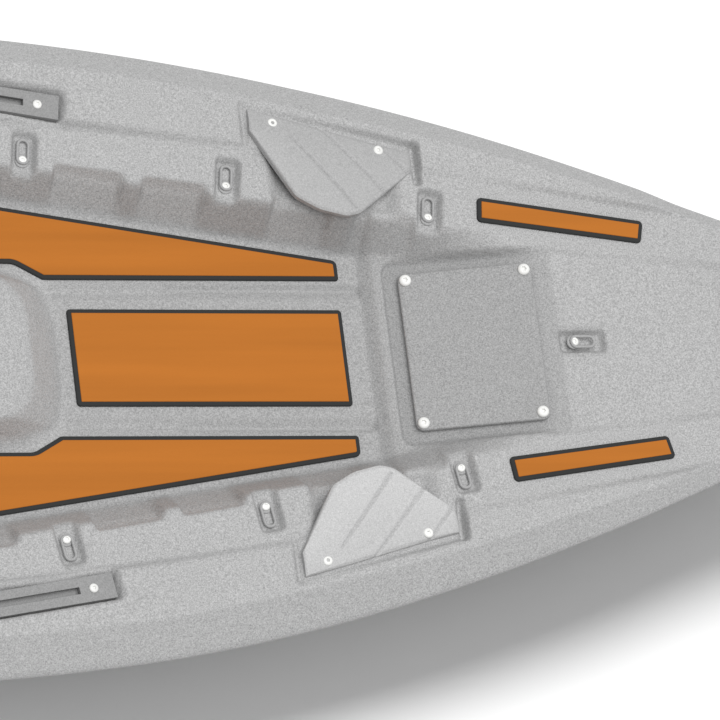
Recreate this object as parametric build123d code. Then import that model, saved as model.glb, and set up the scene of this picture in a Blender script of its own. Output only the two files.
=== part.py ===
from build123d import *
import math
import os

# Sit-on-top fishing kayak. Millimetres, +X to the bow, +Y to port, +Z up.
# The origin is the middle of the hull's length on the keel line, on the surface it stands on.

# ---- driving dimensions ----
LENGTH = 3500.0
HALF_LENGTH = LENGTH / 2
HALF_BEAM = 425.0
TIP_HALF_WIDTH = 16.0
BOW_FINENESS = 2.25
STERN_FINENESS = 3.2
SHEER = 248.0
BOW_RISE, STERN_RISE, LEVEL_HALF = 42.0, 22.0, 1200.0
SHEER_DIP, DIP_AFT_RUN, DIP_FRONT_X, DIP_FRONT_RUN = 18.0, 350.0, 1250.0, 650.0
SEAM_Z = 150.0  # where the deck moulding is welded to the bottom moulding
BOW_ROCKER, STERN_ROCKER, KEEL_FLAT_HALF = 95.0, 60.0, 350.0
WALL = 6.0
GUNWALE_WIDTH = 110.0

FLOOR_Z = 170.0
LEDGE_Z = 214.0
FOREDECK_Z = 242.0
SKY_Z = 420.0
DECK_AFT_X, DECK_FLAT_X, DECK_END_X, DECK_END_Z = -1500.0, 1335.0, 1570.0, 266.0

LEDGE_RISE_X, LEDGE_TOP_X = 522.0, 1105.0
CREASE_END_X = 1420.0  # where the gunwale's raised edge fades out into the foredeck
TAPER = 0.155  # how fast the well narrows towards the bow, mm per mm
TAPER_ANGLE = math.degrees(math.atan(TAPER))
TAPER_FROM_X = 150.0
WELL_REF_X, WELL_REF_Y = 522.0, 212.0
WELL_AFT_X, RISER_X, RAMP_TOP_X = -640.0, 960.0, 1161.0
RAMP_LOW_Z = 183.0
WALL_LEAN = 0.5  # sideways mm per mm of height on the well's side walls
TANK_FRONT_X, TANK_AFT_X, TANK_Z, TANK_LEDGE = -740.0, -1420.0, 188.0, 60.0

HATCH_X, HATCH_Z = 1085.5, 220.0
HATCH_TILT = math.degrees(math.atan((FOREDECK_Z - RAMP_LOW_Z) / (RAMP_TOP_X - RISER_X)))
HATCH_BOLT_PITCH_X, HATCH_BOLT_PITCH_Y = 151.0, 190.0
PLATE_MARGIN = 16.0

SCREW_SHANK_R, SCREW_HEAD_R, SCREW_HEAD_H = 2.5, 6.5, 2.6
HOLE_CLEARANCE = 0.1
PAD_BASE_H, PAD_TOP_H, PAD_BORDER = 4.5, 2.5, 6.5
RUN_GAP = 0.5

nodes = {}


def mirrored(shape):
    """The starboard copy of a port shape."""
    return mirror(shape, about=Plane.XZ)


def both(shape):
    """A port shape and its starboard copy, as one group."""
    return Compound(children=[*shape.solids(), *mirrored(shape).solids()])


def polygon(points):
    """A flat face on the XY plane."""
    return make_face(Polyline(*points, close=True))


def prism(points, low, high, corner=0.0):
    """A closed outline extruded from one height to another, with rounded corners."""
    face = polygon(points)
    if corner:
        face = fillet(face.vertices(), corner)
    return Pos(0, 0, low) * extrude(face, high - low, dir=(0, 0, 1))


def side_prism(points, half_width):
    """An outline in the XZ plane extruded to both sides of the middle line."""
    face = make_face(Plane.XZ * Polyline(*points, close=True))
    return extrude(face, half_width, both=True)


# ---- the hull's form ----
def half_beam(x):
    """Half the hull's width at a station."""
    fineness = BOW_FINENESS if x > 0 else STERN_FINENESS
    return max(HALF_BEAM * (1 - (abs(x) / HALF_LENGTH) ** fineness), TIP_HALF_WIDTH)


def sheer(x):
    """The gunwale's height at a station."""
    share = max(0.0, (abs(x) - LEVEL_HALF) / (HALF_LENGTH - LEVEL_HALF))
    dip = min(x / DIP_AFT_RUN, (DIP_FRONT_X - x) / DIP_FRONT_RUN, 1.0)
    return SHEER + (BOW_RISE if x > 0 else STERN_RISE) * share**2 - SHEER_DIP * max(dip, 0.0)


def keel(x):
    """The bottom's height at a station."""
    share = max(0.0, (abs(x) - KEEL_FLAT_HALF) / (HALF_LENGTH - KEEL_FLAT_HALF))
    return (BOW_ROCKER if x > 0 else STERN_ROCKER) * share**3


# A half section from the keel to the deck's middle: share of the half beam, height, which of
# keel or sheer the height is counted from, and which way the wall's thickness goes.
SECTION = [
    (0.00, 0, keel, (0.0, 1.0)),
    (0.24, 0, keel, (0.0, 1.0)),
    (0.55, 6, keel, (0.0, 1.0)),
    (0.80, 20, keel, (-0.4, 1.0)),
    (0.95, 52, keel, (-0.9, 0.6)),
    (1.00, 90, keel, (-1.0, 0.2)),
    (1.00, -26, sheer, (-1.0, 0.0)),
    (0.965, -7, sheer, (-1.0, -0.6)),
    (0.90, 0, sheer, (-0.6, -1.0)),
]
STATIONS = [-1750, -1710, -1620, -1450, -1200, -800, -350, 0, 350, 600, 900, 1150, 1400, 1600, 1710, 1750]


def hull_section(x, inset):
    """The closed section at a station, moved inwards by the inset."""
    half = [
        (share * half_beam(x) + inset * way[0], up + base(x) + inset * way[1])
        for share, up, base, way in SECTION
    ]
    ring = half + [(-y, z) for y, z in reversed(half[1:])]
    return make_face(Polyline(*[(x, y, z) for y, z in ring], close=True))


def faceted(height, x):
    """A station curve's value on the flats between stations, with its slope in degrees."""
    aft = max(s for s in STATIONS if s <= x)
    fore = min(s for s in STATIONS if s > x)
    slope = (height(fore) - height(aft)) / (fore - aft)
    return height(aft) + slope * (x - aft), math.degrees(math.atan(slope))


def hull_body(inset):
    """The whole closed body, or the space inside its wall."""
    ends = HALF_LENGTH - 4 * inset
    stations = [max(-ends, min(ends, x)) for x in STATIONS]
    return loft([hull_section(x, inset) for x in stations], ruled=True)


def floor_half(x):
    """Half the well floor's width."""
    return WELL_REF_Y - TAPER * (max(x, TAPER_FROM_X) - WELL_REF_X)


def crease_half(x):
    """Half the width between the gunwale's inner creases."""
    if x > CREASE_END_X:
        return half_beam(x) + WALL
    width = GUNWALE_WIDTH * (1 - (max(x - 500.0, 0) / 930.0) ** 2)
    return half_beam(x) - width


def outline(half_width, stations, grow=0.0):
    """A closed outline, symmetric about the middle line."""
    port = [(x, half_width(x) + grow) for x in stations]  # grown ends are moved out too
    port[0] = (port[0][0] - grow, port[0][1])
    port[-1] = (port[-1][0] + grow, port[-1][1])
    return port + [(x, -y) for x, y in reversed(port)]


def leaning_well(half_width, stations, low, high, grow):
    """A well whose side walls lean outwards from its floor to above the deck."""
    rise = high - low
    faces = [
        Pos(0, 0, low - grow) * polygon(outline(half_width, stations, grow)),
        Pos(0, 0, high) * polygon(outline(half_width, stations, grow + WALL_LEAN * rise)),
    ]
    return loft(faces, ruled=True)


def deck_profile(grow):
    """Everything above the deck between the gunwales: level, then rising to the foredeck."""
    g = grow
    points = [
        (DECK_AFT_X - g, LEDGE_Z - g), (LEDGE_RISE_X, LEDGE_Z - g), (LEDGE_TOP_X, FOREDECK_Z - g),
        (DECK_FLAT_X, FOREDECK_Z - g), (DECK_END_X + g, DECK_END_Z - g), (DECK_END_X + g, SKY_Z),
        (DECK_AFT_X - g, SKY_Z),
    ]
    stations = [DECK_AFT_X, -1350, -1150, -800, -300, 200, 500, 750, 950, 1100, 1250, 1400, 1430, DECK_END_X]
    inside = prism(outline(crease_half, stations, g), 100, SKY_Z)
    return side_prism(points, 500) & inside


def cockpit(grow):
    """The standing floor with the ramp at its front."""
    g = grow
    points = [
        (-800, FLOOR_Z - g), (RISER_X + g, FLOOR_Z - g), (RISER_X + g, RAMP_LOW_Z - g),
        (RAMP_TOP_X + g, FOREDECK_Z - g), (RAMP_TOP_X + g, SKY_Z), (-800, SKY_Z),
    ]
    stations = [WELL_AFT_X, TAPER_FROM_X, RAMP_TOP_X]
    return side_prism(points, 500) & leaning_well(floor_half, stations, FLOOR_Z, 300, g)


def tank_half(x):
    """Half the rear cargo well's width: it narrows with the stern."""
    return half_beam(x) - GUNWALE_WIDTH - TANK_LEDGE


def tankwell(grow):
    """The rear cargo well."""
    stations = [TANK_AFT_X, -1250, -1050, TANK_FRONT_X]
    return leaning_well(tank_half, stations, TANK_Z, 300, grow)


# ---- recesses, each grown by the wall to make the space under the deck ----
EYE_ROWS = [(520, 248), (780, 211), (1044, 168)]
REAR_EYE_X, REAR_EYE_IN = (-860, -1100, -1330), 142.0
BOW_EYE_X = 1216.0
EYE_LENGTH, EYE_WIDTH, EYE_DEPTH, EYE_SINK = 46.0, 26.0, 11.0, 7.0
EYE_INNER = 13.0  # from the screw to the recess's inner end


def ledge_z(x):
    """The side ledge's height."""
    share = (x - LEDGE_RISE_X) / (LEDGE_TOP_X - LEDGE_RISE_X)
    return LEDGE_Z + (FOREDECK_Z - LEDGE_Z) * min(max(share, 0.0), 1.0)


def eye_places():
    """Where each tie-down eye's screw goes: its x, y and height, and the way its loop points."""
    port = [(x, y, ledge_z(x) - EYE_DEPTH, 90 - TAPER_ANGLE) for x, y in EYE_ROWS]
    port += [(x, half_beam(x) - REAR_EYE_IN, LEDGE_Z - EYE_DEPTH, 90) for x in REAR_EYE_X]
    starboard = [(x, -y, z, -turn) for x, y, z, turn in port]
    return port + starboard + [(BOW_EYE_X, 0.0, FOREDECK_Z - EYE_DEPTH, 0.0)]


def eye_recess(place, grow):
    """A pocket with an upright wall all round."""
    x, y, z, turn = place
    block = Box(EYE_LENGTH + 2 * grow, EYE_WIDTH + 2 * grow, 60 + grow, align=(Align.MIN, Align.CENTER, Align.MIN))
    return Pos(x, y, z - grow) * Rot(0, 0, turn) * (Pos(-EYE_INNER - grow, 0, 0) * block)


TRACK_LENGTH, TRACK_WIDTH, TRACK_HEIGHT = 400.0, 32.0, 13.0
TRACK_MARGIN, TRACK_END, TRACK_SCREW = 3.0, 46.0, 28.0
TRACKS = [(372.0, 343.0, 222.0, -TAPER_ANGLE), (-330.0, 346.0, 246.0, 0.0)]  # x, y, top, turn


def track_recess(track, grow):
    """The pocket that a gear track lies in."""
    x, y, top, turn = track
    long, wide = TRACK_LENGTH + 2 * (TRACK_MARGIN + grow), TRACK_WIDTH + 2 * (TRACK_MARGIN + grow)
    block = Box(long, wide, 60, align=(Align.CENTER, Align.CENTER, Align.MIN))
    return Pos(x, y, top - TRACK_HEIGHT - grow) * Rot(0, 0, turn) * block


GUSSET_POCKET = [(806, 322), (1032, 268), (1032, 150), (806, 176)]
GUSSET_Z = 232.0
GUSSET_H = 5.0


def gusset_pocket(grow):
    """The flat that a corner gusset is screwed to."""
    middle = (919, 229)
    points = [
        (x + math.copysign(grow, x - middle[0]), y + math.copysign(grow, y - middle[1]))
        for x, y in GUSSET_POCKET
    ]
    return prism(points, GUSSET_Z - grow, SKY_Z)


def on_ramp(shape):
    """A shape modelled flat about the hatch's middle, laid on the ramp."""
    return Pos(HATCH_X, 0, HATCH_Z) * Rot(0, -HATCH_TILT, 0) * shape


HATCH_LONG = HATCH_BOLT_PITCH_X + 2 * PLATE_MARGIN
HATCH_WIDE = HATCH_BOLT_PITCH_Y + 2 * PLATE_MARGIN
HATCH_PLATE_H, HATCH_GASKET_H, HATCH_SINK = 5.0, 3.0, 3.0
HATCH_GUTTER = 11.0


def hatch_recess(grow):
    """The sunken frame that the bolted plate lies in."""
    deep = HATCH_PLATE_H + HATCH_GASKET_H + HATCH_SINK
    wide = 2 * (HATCH_GUTTER + grow)
    block = Box(HATCH_LONG + wide, HATCH_WIDE + wide, 70, align=(Align.CENTER, Align.CENTER, Align.MIN))
    return on_ramp(Pos(0, 0, -deep - grow) * block)


HATCH_PORT_LONG, HATCH_PORT_WIDE = 96.0, 132.0

CHANNEL_IN, CHANNEL_OUT, CHANNEL_DEEP = 74.0, 94.0, 5.0
PLATFORM_AFT_X = 556.0


def channels(grow):
    """The shallow drain channels on each side of the middle platform."""
    cut = prism(
        [(PLATFORM_AFT_X - grow, CHANNEL_IN - grow), (RISER_X + grow, CHANNEL_IN - grow),
         (RISER_X + grow, CHANNEL_OUT + grow), (PLATFORM_AFT_X - grow, CHANNEL_OUT + grow)],
        FLOOR_Z - CHANNEL_DEEP - grow, FLOOR_Z + 20,
    )
    return [cut, mirrored(cut)]


SCUPPERS = [(90, 200), (-560, 190), (-800, 170), (-1300, 70)]
SCUPPER_TOP_R, SCUPPER_LOW_R, SCUPPER_WALL = 19.0, 15.0, 5.0


def scupper_places():
    """The drain holes right through the hull, two at each station."""
    return [(x, y * side) for x, y in SCUPPERS for side in (1, -1)]


def scupper(x, y, grow):
    """A tapered drain hole, from under the hull to above the floor."""
    high = 260.0 if grow == 0 else TANK_Z
    cone = Cone(SCUPPER_LOW_R + grow, SCUPPER_TOP_R + grow, high + 20, align=(Align.CENTER, Align.CENTER, Align.MIN))
    return Pos(x, y, -20) * cone


HUMP_AFT, HUMP_FRONT, HUMP_FOOT_HALF, HUMP_TOP_HALF, HUMP_Z = 70.0, 554.0, 118.0, 101.0, 215.0
HUMP_SLOPE, HUMP_FOOT_R, HUMP_TOP_R = 54.0, 70.0, 56.0


def hump(grow):
    """The low console between the footwells: a raised pad with sloping sides."""
    g = grow

    def ring(half, aft, front, corner, z):
        face = polygon([(aft, -half), (front, -half), (front, half), (aft, half)])
        return Pos(0, 0, z) * fillet(face.vertices(), corner)

    foot = ring(HUMP_FOOT_HALF - g, HUMP_AFT + g, HUMP_FRONT - g, HUMP_FOOT_R - g, FLOOR_Z - g - 2)
    top = ring(HUMP_TOP_HALF - g, HUMP_AFT + HUMP_SLOPE + g, HUMP_FRONT - HUMP_SLOPE - g, HUMP_TOP_R - g, HUMP_Z - g)
    return loft([foot, top], ruled=True)


ROD_HOLDERS = (-690.0, 327.0)
ROD_TUBE_R, ROD_TUBE_WALL, ROD_TUBE_DEEP, ROD_TILT = 22.0, 3.0, 190.0, -30.0
LID_X, LID_R, CUP_DEEP = 320.0, 76.0, 110.0


def deck_cuts(grow):
    """Every recess in the deck."""
    cuts = [deck_profile(grow), cockpit(grow), tankwell(grow), hatch_recess(grow), *channels(grow)]
    cuts += [eye_recess(place, grow) for place in eye_places()]
    for cut in [*[track_recess(track, grow) for track in TRACKS], gusset_pocket(grow)]:
        cuts += [cut, mirrored(cut)]
    return cuts


# ---- fasteners ----
def screw(length, head_r=SCREW_HEAD_R, head_h=SCREW_HEAD_H, shank_r=SCREW_SHANK_R):
    """A pan-head screw that stands at the origin, its head above, its shank below."""
    head = Cylinder(head_r, head_h, align=(Align.CENTER, Align.CENTER, Align.MIN))
    head = fillet(head.edges().sort_by(Axis.Z)[-1], head_h * 0.6)
    head -= Pos(0, 0, head_h * 0.45) * Cylinder(head_r * 0.3, head_h, align=(Align.CENTER, Align.CENTER, Align.MIN))
    shank = Pos(0, 0, -length) * Cylinder(shank_r, length, align=(Align.CENTER, Align.CENTER, Align.MIN))
    return head + shank


def shank_hole(length, shank_r=SCREW_SHANK_R):
    """The hole for a screw's shank."""
    return Pos(0, 0, -length - 2) * Cylinder(
        shank_r + HOLE_CLEARANCE, length + 40, align=(Align.CENTER, Align.CENTER, Align.MIN)
    )


hull_holes = []  # shank and tube holes to be cut in the hull


def fasten(place, length, **sizes):
    """A screw at a place, whose hole is cut in the hull too."""
    hull_holes.append(place * shank_hole(length, sizes.get("shank_r", SCREW_SHANK_R)))
    return place * screw(length, **sizes)


# ---- deck pads ----
def pad(name, points, z, corner):
    """A two-layer foam pad: a dark base that shows as a border round the inset top."""
    face = fillet(polygon(points).vertices(), corner)
    inner = offset(face, -PAD_BORDER, kind=Kind.INTERSECTION)
    nodes[name + "_base"] = Pos(0, 0, z) * extrude(face, PAD_BASE_H)
    nodes[name + "_top"] = Pos(0, 0, z + PAD_BASE_H) * extrude(inner, PAD_TOP_H)


def flip(points):
    """The starboard copy of a port outline."""
    return [(x, -y) for x, y in reversed(points)]


FLOOR_PAD = [(934, 103), (934, 130), (200, 245), (60, 245), (60, 124), (504, 124), (541, 103)]
BOW_PAD = [(1102, 157), (1322, 129), (1329, 159), (1106, 190)]
CENTER_PAD = [(567, -64), (932, -64), (932, 64), (567, 64)]


def deck_pads():
    pad("center_pad", CENTER_PAD, FLOOR_Z, 5)
    pad("port_floor_pad", FLOOR_PAD, FLOOR_Z, 7)
    pad("starboard_floor_pad", flip(FLOOR_PAD), FLOOR_Z, 7)
    pad("port_bow_pad", BOW_PAD, FOREDECK_Z, 5)
    pad("starboard_bow_pad", flip(BOW_PAD), FOREDECK_Z, 5)


# ---- corner gussets ----
GUSSET = [(814, 307), (812, 275), (857, 192), (895, 178), (933, 169), (951, 174), (1025, 225), (1028, 254), (987, 262), (922, 281)]
GUSSET_SCREWS = [(845, 289), (983, 254)]


def gussets():
    plate = prism(GUSSET, GUSSET_Z, GUSSET_Z + GUSSET_H)
    grooves = [((870, 268), (945, 178)), ((908, 268), (982, 200)), ((978, 250), (1012, 222))]
    for (x0, y0), (x1, y1) in grooves:
        run = math.hypot(x1 - x0, y1 - y0)
        turn = math.degrees(math.atan2(y1 - y0, x1 - x0))
        plate -= Pos((x0 + x1) / 2, (y0 + y1) / 2, GUSSET_Z + GUSSET_H) * Rot(0, 0, turn) * Box(run, 2.0, 2.4)
    for x, y in GUSSET_SCREWS:
        plate -= Pos(x, y, GUSSET_Z) * shank_hole(20)
    nodes["port_gusset"] = plate
    nodes["starboard_gusset"] = mirrored(plate)
    places = [Pos(x, y * side, GUSSET_Z + GUSSET_H) for x, y in GUSSET_SCREWS for side in (1, -1)]
    nodes["gusset_screws"] = Compound(children=[fasten(place, 20) for place in places])


# ---- bolted hatch plate ----
def hatch():
    bed = -HATCH_SINK - HATCH_PLATE_H
    outer = fillet(Rectangle(HATCH_LONG, HATCH_WIDE).vertices(), 12)
    ring = outer - Rectangle(HATCH_LONG - 50, HATCH_WIDE - 50)
    corners = [
        (HATCH_BOLT_PITCH_X / 2 * a, HATCH_BOLT_PITCH_Y / 2 * b) for a in (1, -1) for b in (1, -1)
    ]
    plate = Pos(0, 0, bed) * extrude(outer, HATCH_PLATE_H)
    plate += Pos(0, 0, -HATCH_SINK) * extrude(Circle(24) - Circle(19), 1.5)
    gasket = Pos(0, 0, bed - HATCH_GASKET_H) * extrude(ring, HATCH_GASKET_H)
    for x, y in corners:
        plate -= Pos(x, y, 0) * shank_hole(40, 3.0)
        gasket -= Pos(x, y, 0) * shank_hole(40, 3.0)
    nodes["hatch_plate"] = on_ramp(plate)
    nodes["hatch_gasket"] = on_ramp(gasket)
    bolts = [on_ramp(Pos(x, y, -HATCH_SINK) * screw(28, 8.0, 4.0, 3.0)) for x, y in corners]
    hull_holes.extend(on_ramp(Pos(x, y, -HATCH_SINK) * shank_hole(28, 3.0)) for x, y in corners)
    nodes["hatch_bolts"] = Compound(children=bolts)


# ---- tie-down eyes ----
def tie_downs():
    slot = SlotOverall(40, 18)
    loop = extrude(slot, EYE_SINK - 2) - Pos(0, 0, -1) * extrude(Pos(9, 0) * SlotOverall(17, 10), EYE_SINK)
    loop = Pos(9, 0, 0) * loop
    loop -= shank_hole(20)
    eyes, screws = [], []
    for x, y, z, turn in eye_places():
        place = Pos(x, y, z) * Rot(0, 0, turn)
        eyes += (place * loop).solids()
        screws.append(fasten(place * Pos(0, 0, EYE_SINK - 2), 18, head_r=6.0))
    nodes["tie_down_eyes"] = Compound(children=eyes)
    nodes["tie_down_screws"] = Compound(children=screws)


# ---- gear tracks ----
def gear_tracks():
    body = Box(TRACK_LENGTH, TRACK_WIDTH, TRACK_HEIGHT, align=(Align.CENTER, Align.CENTER, Align.MIN))
    open_long = TRACK_LENGTH - 2 * TRACK_END
    body -= Pos(0, 0, 4) * Box(open_long, 20, 6, align=(Align.CENTER, Align.CENTER, Align.MIN))
    body -= Pos(0, 0, 4) * Box(open_long, 9, 20, align=(Align.CENTER, Align.CENTER, Align.MIN))
    ends = (-TRACK_LENGTH / 2 + TRACK_SCREW, TRACK_LENGTH / 2 - TRACK_SCREW)
    for x in ends:
        body -= Pos(x, 0, 0) * shank_hole(20)
    screws = []
    for name, (x, y, top, turn) in zip(("front", "rear"), TRACKS):
        place = Pos(x, y, top - TRACK_HEIGHT) * Rot(0, 0, turn)
        track = place * body
        nodes[f"port_{name}_track"] = track
        nodes[f"starboard_{name}_track"] = mirrored(track)
        for end in ends:
            for side in (1, -1):
                spot = Pos(x, y * side, top) * Rot(0, 0, turn * side) * Pos(end, 0, 0)
                screws.append(fasten(spot, 26, head_r=6.0))
    nodes["track_screws"] = Compound(children=screws)


# ---- round hinged hatch on the console ----
LID_HINGE_X, LID_HINGE_Z = -89.0, 14.5
LID_PIN_R, KNUCKLE_R, KNUCKLE_HALF, EAR_THICK = 2.5, 6.0, 12.0, 6.0
RING_H, LID_LOW, LID_H = 7.0, 2.5, 6.0


def cross_pin(radius, half_length):
    """A round bar along Y on the lid's hinge line."""
    return Pos(LID_HINGE_X, 0, LID_HINGE_Z) * Rot(90, 0, 0) * Cylinder(radius, 2 * half_length)


def console_hatch():
    at = Pos(LID_X, 0, HUMP_Z)
    spigot = extrude(Circle(LID_R + 4) - Circle(LID_R - 4), WALL + 6)
    ring = extrude(Circle(LID_R + 20) - Circle(LID_R + RUN_GAP), RING_H) + Pos(0, 0, -WALL - 6) * spigot
    ear_y = KNUCKLE_HALF + 1 + EAR_THICK / 2
    for side in (1, -1):
        ear = Box(14, EAR_THICK, 16, align=(Align.CENTER, Align.CENTER, Align.MIN))
        ear = fillet(ear.edges().filter_by(Axis.Y).sort_by(Axis.Z)[-2:], 5)
        ring += Pos(LID_HINGE_X, side * ear_y, RING_H - 1) * ear
    ring -= cross_pin(LID_PIN_R + 0.02, 40)
    small = dict(head_r=4.2, head_h=2.0, shank_r=2.0)
    places = [Rot(0, 0, 60 * k + 30) * Pos(LID_R + 12, 0, RING_H) for k in range(6)]
    for place in places:
        ring -= place * shank_hole(20, 2.0)
    nodes["console_hatch_ring"] = at * ring
    nodes["console_hatch_screws"] = Compound(children=[fasten(at * place, 18, **small) for place in places])
    nodes["console_hatch_pin"] = at * cross_pin(LID_PIN_R, KNUCKLE_HALF + 1 + EAR_THICK)

    lid = extrude(Circle(LID_R), LID_H)
    lid = Pos(0, 0, LID_LOW) * fillet(lid.edges().sort_by(Axis.Z)[-1], 2.5)
    grip = Pos(20, 0, LID_LOW + LID_H) * Box(16, 90, 9, align=(Align.CENTER, Align.CENTER, Align.MIN))
    lid += fillet(grip.edges().filter_by(Axis.Z), 6)
    arm = Pos(LID_HINGE_X, 0, LID_LOW + LID_H - 1) * Box(40, 20, 6.5, align=(Align.MIN, Align.CENTER, Align.MIN))
    lid += arm + cross_pin(KNUCKLE_R, KNUCKLE_HALF)
    lid -= cross_pin(LID_PIN_R + 0.06, 40)
    nodes["console_hatch_lid"] = at * lid
    seal = extrude(Circle(LID_R - 1) - Circle(LID_R - 4), 1.2)
    nodes["console_hatch_seal"] = at * Pos(0, 0, 1.1) * seal

    cup_r = LID_R - 4.2
    cup = Pos(0, 0, -CUP_DEEP) * extrude(Circle(cup_r), CUP_DEEP) + extrude(Circle(LID_R - 0.6), 1.0)
    cup -= Pos(0, 0, -CUP_DEEP + 3) * extrude(Circle(cup_r - 2.5), CUP_DEEP + 10)
    nodes["storage_cup"] = at * cup
    hull_holes.append(at * Pos(0, 0, -20) * extrude(Circle(LID_R + 4.2), 60))


# ---- flush rod holders behind the seat ----
def rod_holders():
    x, y = ROD_HOLDERS
    at = Pos(x, y, SHEER) * Rot(0, ROD_TILT, 0)
    outer, inner = ROD_TUBE_R + ROD_TUBE_WALL, ROD_TUBE_R
    return at, outer, inner


def rod_holder_parts():
    at, outer, inner = rod_holders()
    level = Pos(ROD_HOLDERS[0], ROD_HOLDERS[1], SHEER)
    flange = level * extrude(fillet(Rectangle(86, 66).vertices(), 20), 4)
    tube = at * Pos(0, 0, -ROD_TUBE_DEEP) * Cylinder(outer, ROD_TUBE_DEEP + 40, align=(Align.CENTER, Align.CENTER, Align.MIN))
    tube -= level * Pos(0, 0, 4) * Box(400, 400, 120, align=(Align.CENTER, Align.CENTER, Align.MIN))
    holder = flange + tube
    bore = at * Pos(0, 0, -ROD_TUBE_DEEP + 4) * Cylinder(inner, ROD_TUBE_DEEP + 80, align=(Align.CENTER, Align.CENTER, Align.MIN))
    holder -= bore
    spots = [level * Pos(35, 25, 4), level * Pos(-35, 25, 4), level * Pos(35, -25, 4), level * Pos(-35, -25, 4)]
    for spot in spots:
        holder -= spot * shank_hole(16, 2.0)
    nodes["port_rod_holder"] = holder
    nodes["starboard_rod_holder"] = mirrored(holder)
    small = dict(head_r=4.2, head_h=2.0, shank_r=2.0)
    port = [fasten(spot, 16, **small) for spot in spots]
    hull_holes.extend([mirrored(spot * shank_hole(16, 2.0)) for spot in spots])
    nodes["rod_holder_screws"] = Compound(children=[s for p in port for s in both(p).solids()])
    hull_hole = at * Pos(0, 0, -ROD_TUBE_DEEP - 1) * Cylinder(
        outer + 0.3, ROD_TUBE_DEEP + 60, align=(Align.CENTER, Align.CENTER, Align.MIN)
    )
    hull_holes.extend([hull_hole, mirrored(hull_hole)])


# ---- foot braces on the well's side walls ----
RAIL_X, RAIL_LENGTH, RAIL_LOW, RAIL_HIGH, RAIL_DEPTH = 290.0, 250.0, 178.0, 206.0, 14.0
PEDAL_BLOCK = 50.0  # it slides 150 forward from the rail's aft end
GROOVE_LOW, GROOVE_HIGH, GROOVE_DEPTH = 188.0, 197.0, 7.0


def along_wall(shape):
    """A shape modelled along the port side wall, put where the rail goes."""
    return Pos(RAIL_X, floor_half(RAIL_X), 0) * Rot(0, 0, -TAPER_ANGLE) * shape


def along_wall_prism(points, length, start):
    """An outline of (away from the middle line, height) run along the wall."""
    face = make_face(Plane.YZ * Polyline(*points, close=True))
    return Pos(start, 0, 0) * extrude(face, length, dir=(1, 0, 0))


def foot_braces():
    lean = WALL_LEAN * math.cos(math.radians(TAPER_ANGLE))
    low_back = lean * (RAIL_LOW - FLOOR_Z) - 0.2
    high_back = lean * (RAIL_HIGH - FLOOR_Z) - 0.2
    front = low_back - RAIL_DEPTH
    rail = along_wall_prism(
        [(low_back, RAIL_LOW), (front, RAIL_LOW), (front, RAIL_HIGH), (high_back, RAIL_HIGH)],
        RAIL_LENGTH, -RAIL_LENGTH / 2,
    )
    groove = along_wall_prism(
        [(front + GROOVE_DEPTH, GROOVE_LOW), (front - 1, GROOVE_LOW), (front - 1, GROOVE_HIGH), (front + GROOVE_DEPTH, GROOVE_HIGH)],
        RAIL_LENGTH - 30, -RAIL_LENGTH / 2 + 15,
    )
    rail -= groove
    ends = (-RAIL_LENGTH / 2 + 7, RAIL_LENGTH / 2 - 7)
    middle_z = (RAIL_LOW + RAIL_HIGH) / 2
    spots = [along_wall(Pos(end, front, middle_z) * Rot(90, 0, 0)) for end in ends]
    rail = along_wall(rail)
    small = dict(head_r=4.2, head_h=2.0, shank_r=2.0)
    screws = []
    for spot in spots:
        rail -= spot * shank_hole(30, 2.0)
        port = fasten(spot, 30, **small)
        hull_holes.append(mirrored(spot * shank_hole(30, 2.0)))
        screws += [port, mirrored(port)]
    nodes["port_foot_rail"] = rail
    nodes["starboard_foot_rail"] = mirrored(rail)
    nodes["foot_rail_screws"] = Compound(children=screws)

    start = -RAIL_LENGTH / 2 + 18
    face_y = front - RUN_GAP
    block = along_wall_prism(
        [(face_y, 184), (face_y - 12, 184), (face_y - 12, 204), (face_y, 204)], PEDAL_BLOCK, start
    )
    tongue = along_wall_prism(
        [(face_y + GROOVE_DEPTH - 1, GROOVE_LOW + RUN_GAP), (face_y - 2, GROOVE_LOW + RUN_GAP),
         (face_y - 2, GROOVE_HIGH - RUN_GAP), (face_y + GROOVE_DEPTH - 1, GROOVE_HIGH - RUN_GAP)],
        PEDAL_BLOCK, start,
    )
    sole = Pos(start + 8, face_y - 10, 184) * Rot(0, 0, 90) * Box(86, 9, 96, align=(Align.MAX, Align.CENTER, Align.MIN))
    sole = fillet(sole.edges().filter_by(Axis.X), 4)
    pedal = along_wall(block + tongue + sole)
    nodes["port_foot_pedal"] = pedal
    nodes["starboard_foot_pedal"] = mirrored(pedal)


# ---- carry handles ----
def bail(span, reach, wire_r, grip_r):
    """A U-shaped handle in the XY plane: its pivots on the Y axis, its grip out along +X."""
    legs = [Pos(0, s * span / 2, 0) * Rot(0, 90, 0) * Cylinder(wire_r, reach, align=(Align.CENTER, Align.CENTER, Align.MIN)) for s in (1, -1)]
    eyes = [Pos(0, s * span / 2, 0) * Rot(90, 0, 0) * Cylinder(8, 2 * wire_r + 1) for s in (1, -1)]
    grip = Pos(reach, 0, 0) * Rot(90, 0, 0) * Cylinder(grip_r, span + 2 * wire_r + 6)
    shape = grip + legs[0] + legs[1] + eyes[0] + eyes[1]
    for s in (1, -1):
        shape -= Pos(0, s * span / 2, 0) * Rot(90, 0, 0) * Cylinder(3.1, 30)
    return shape


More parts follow.
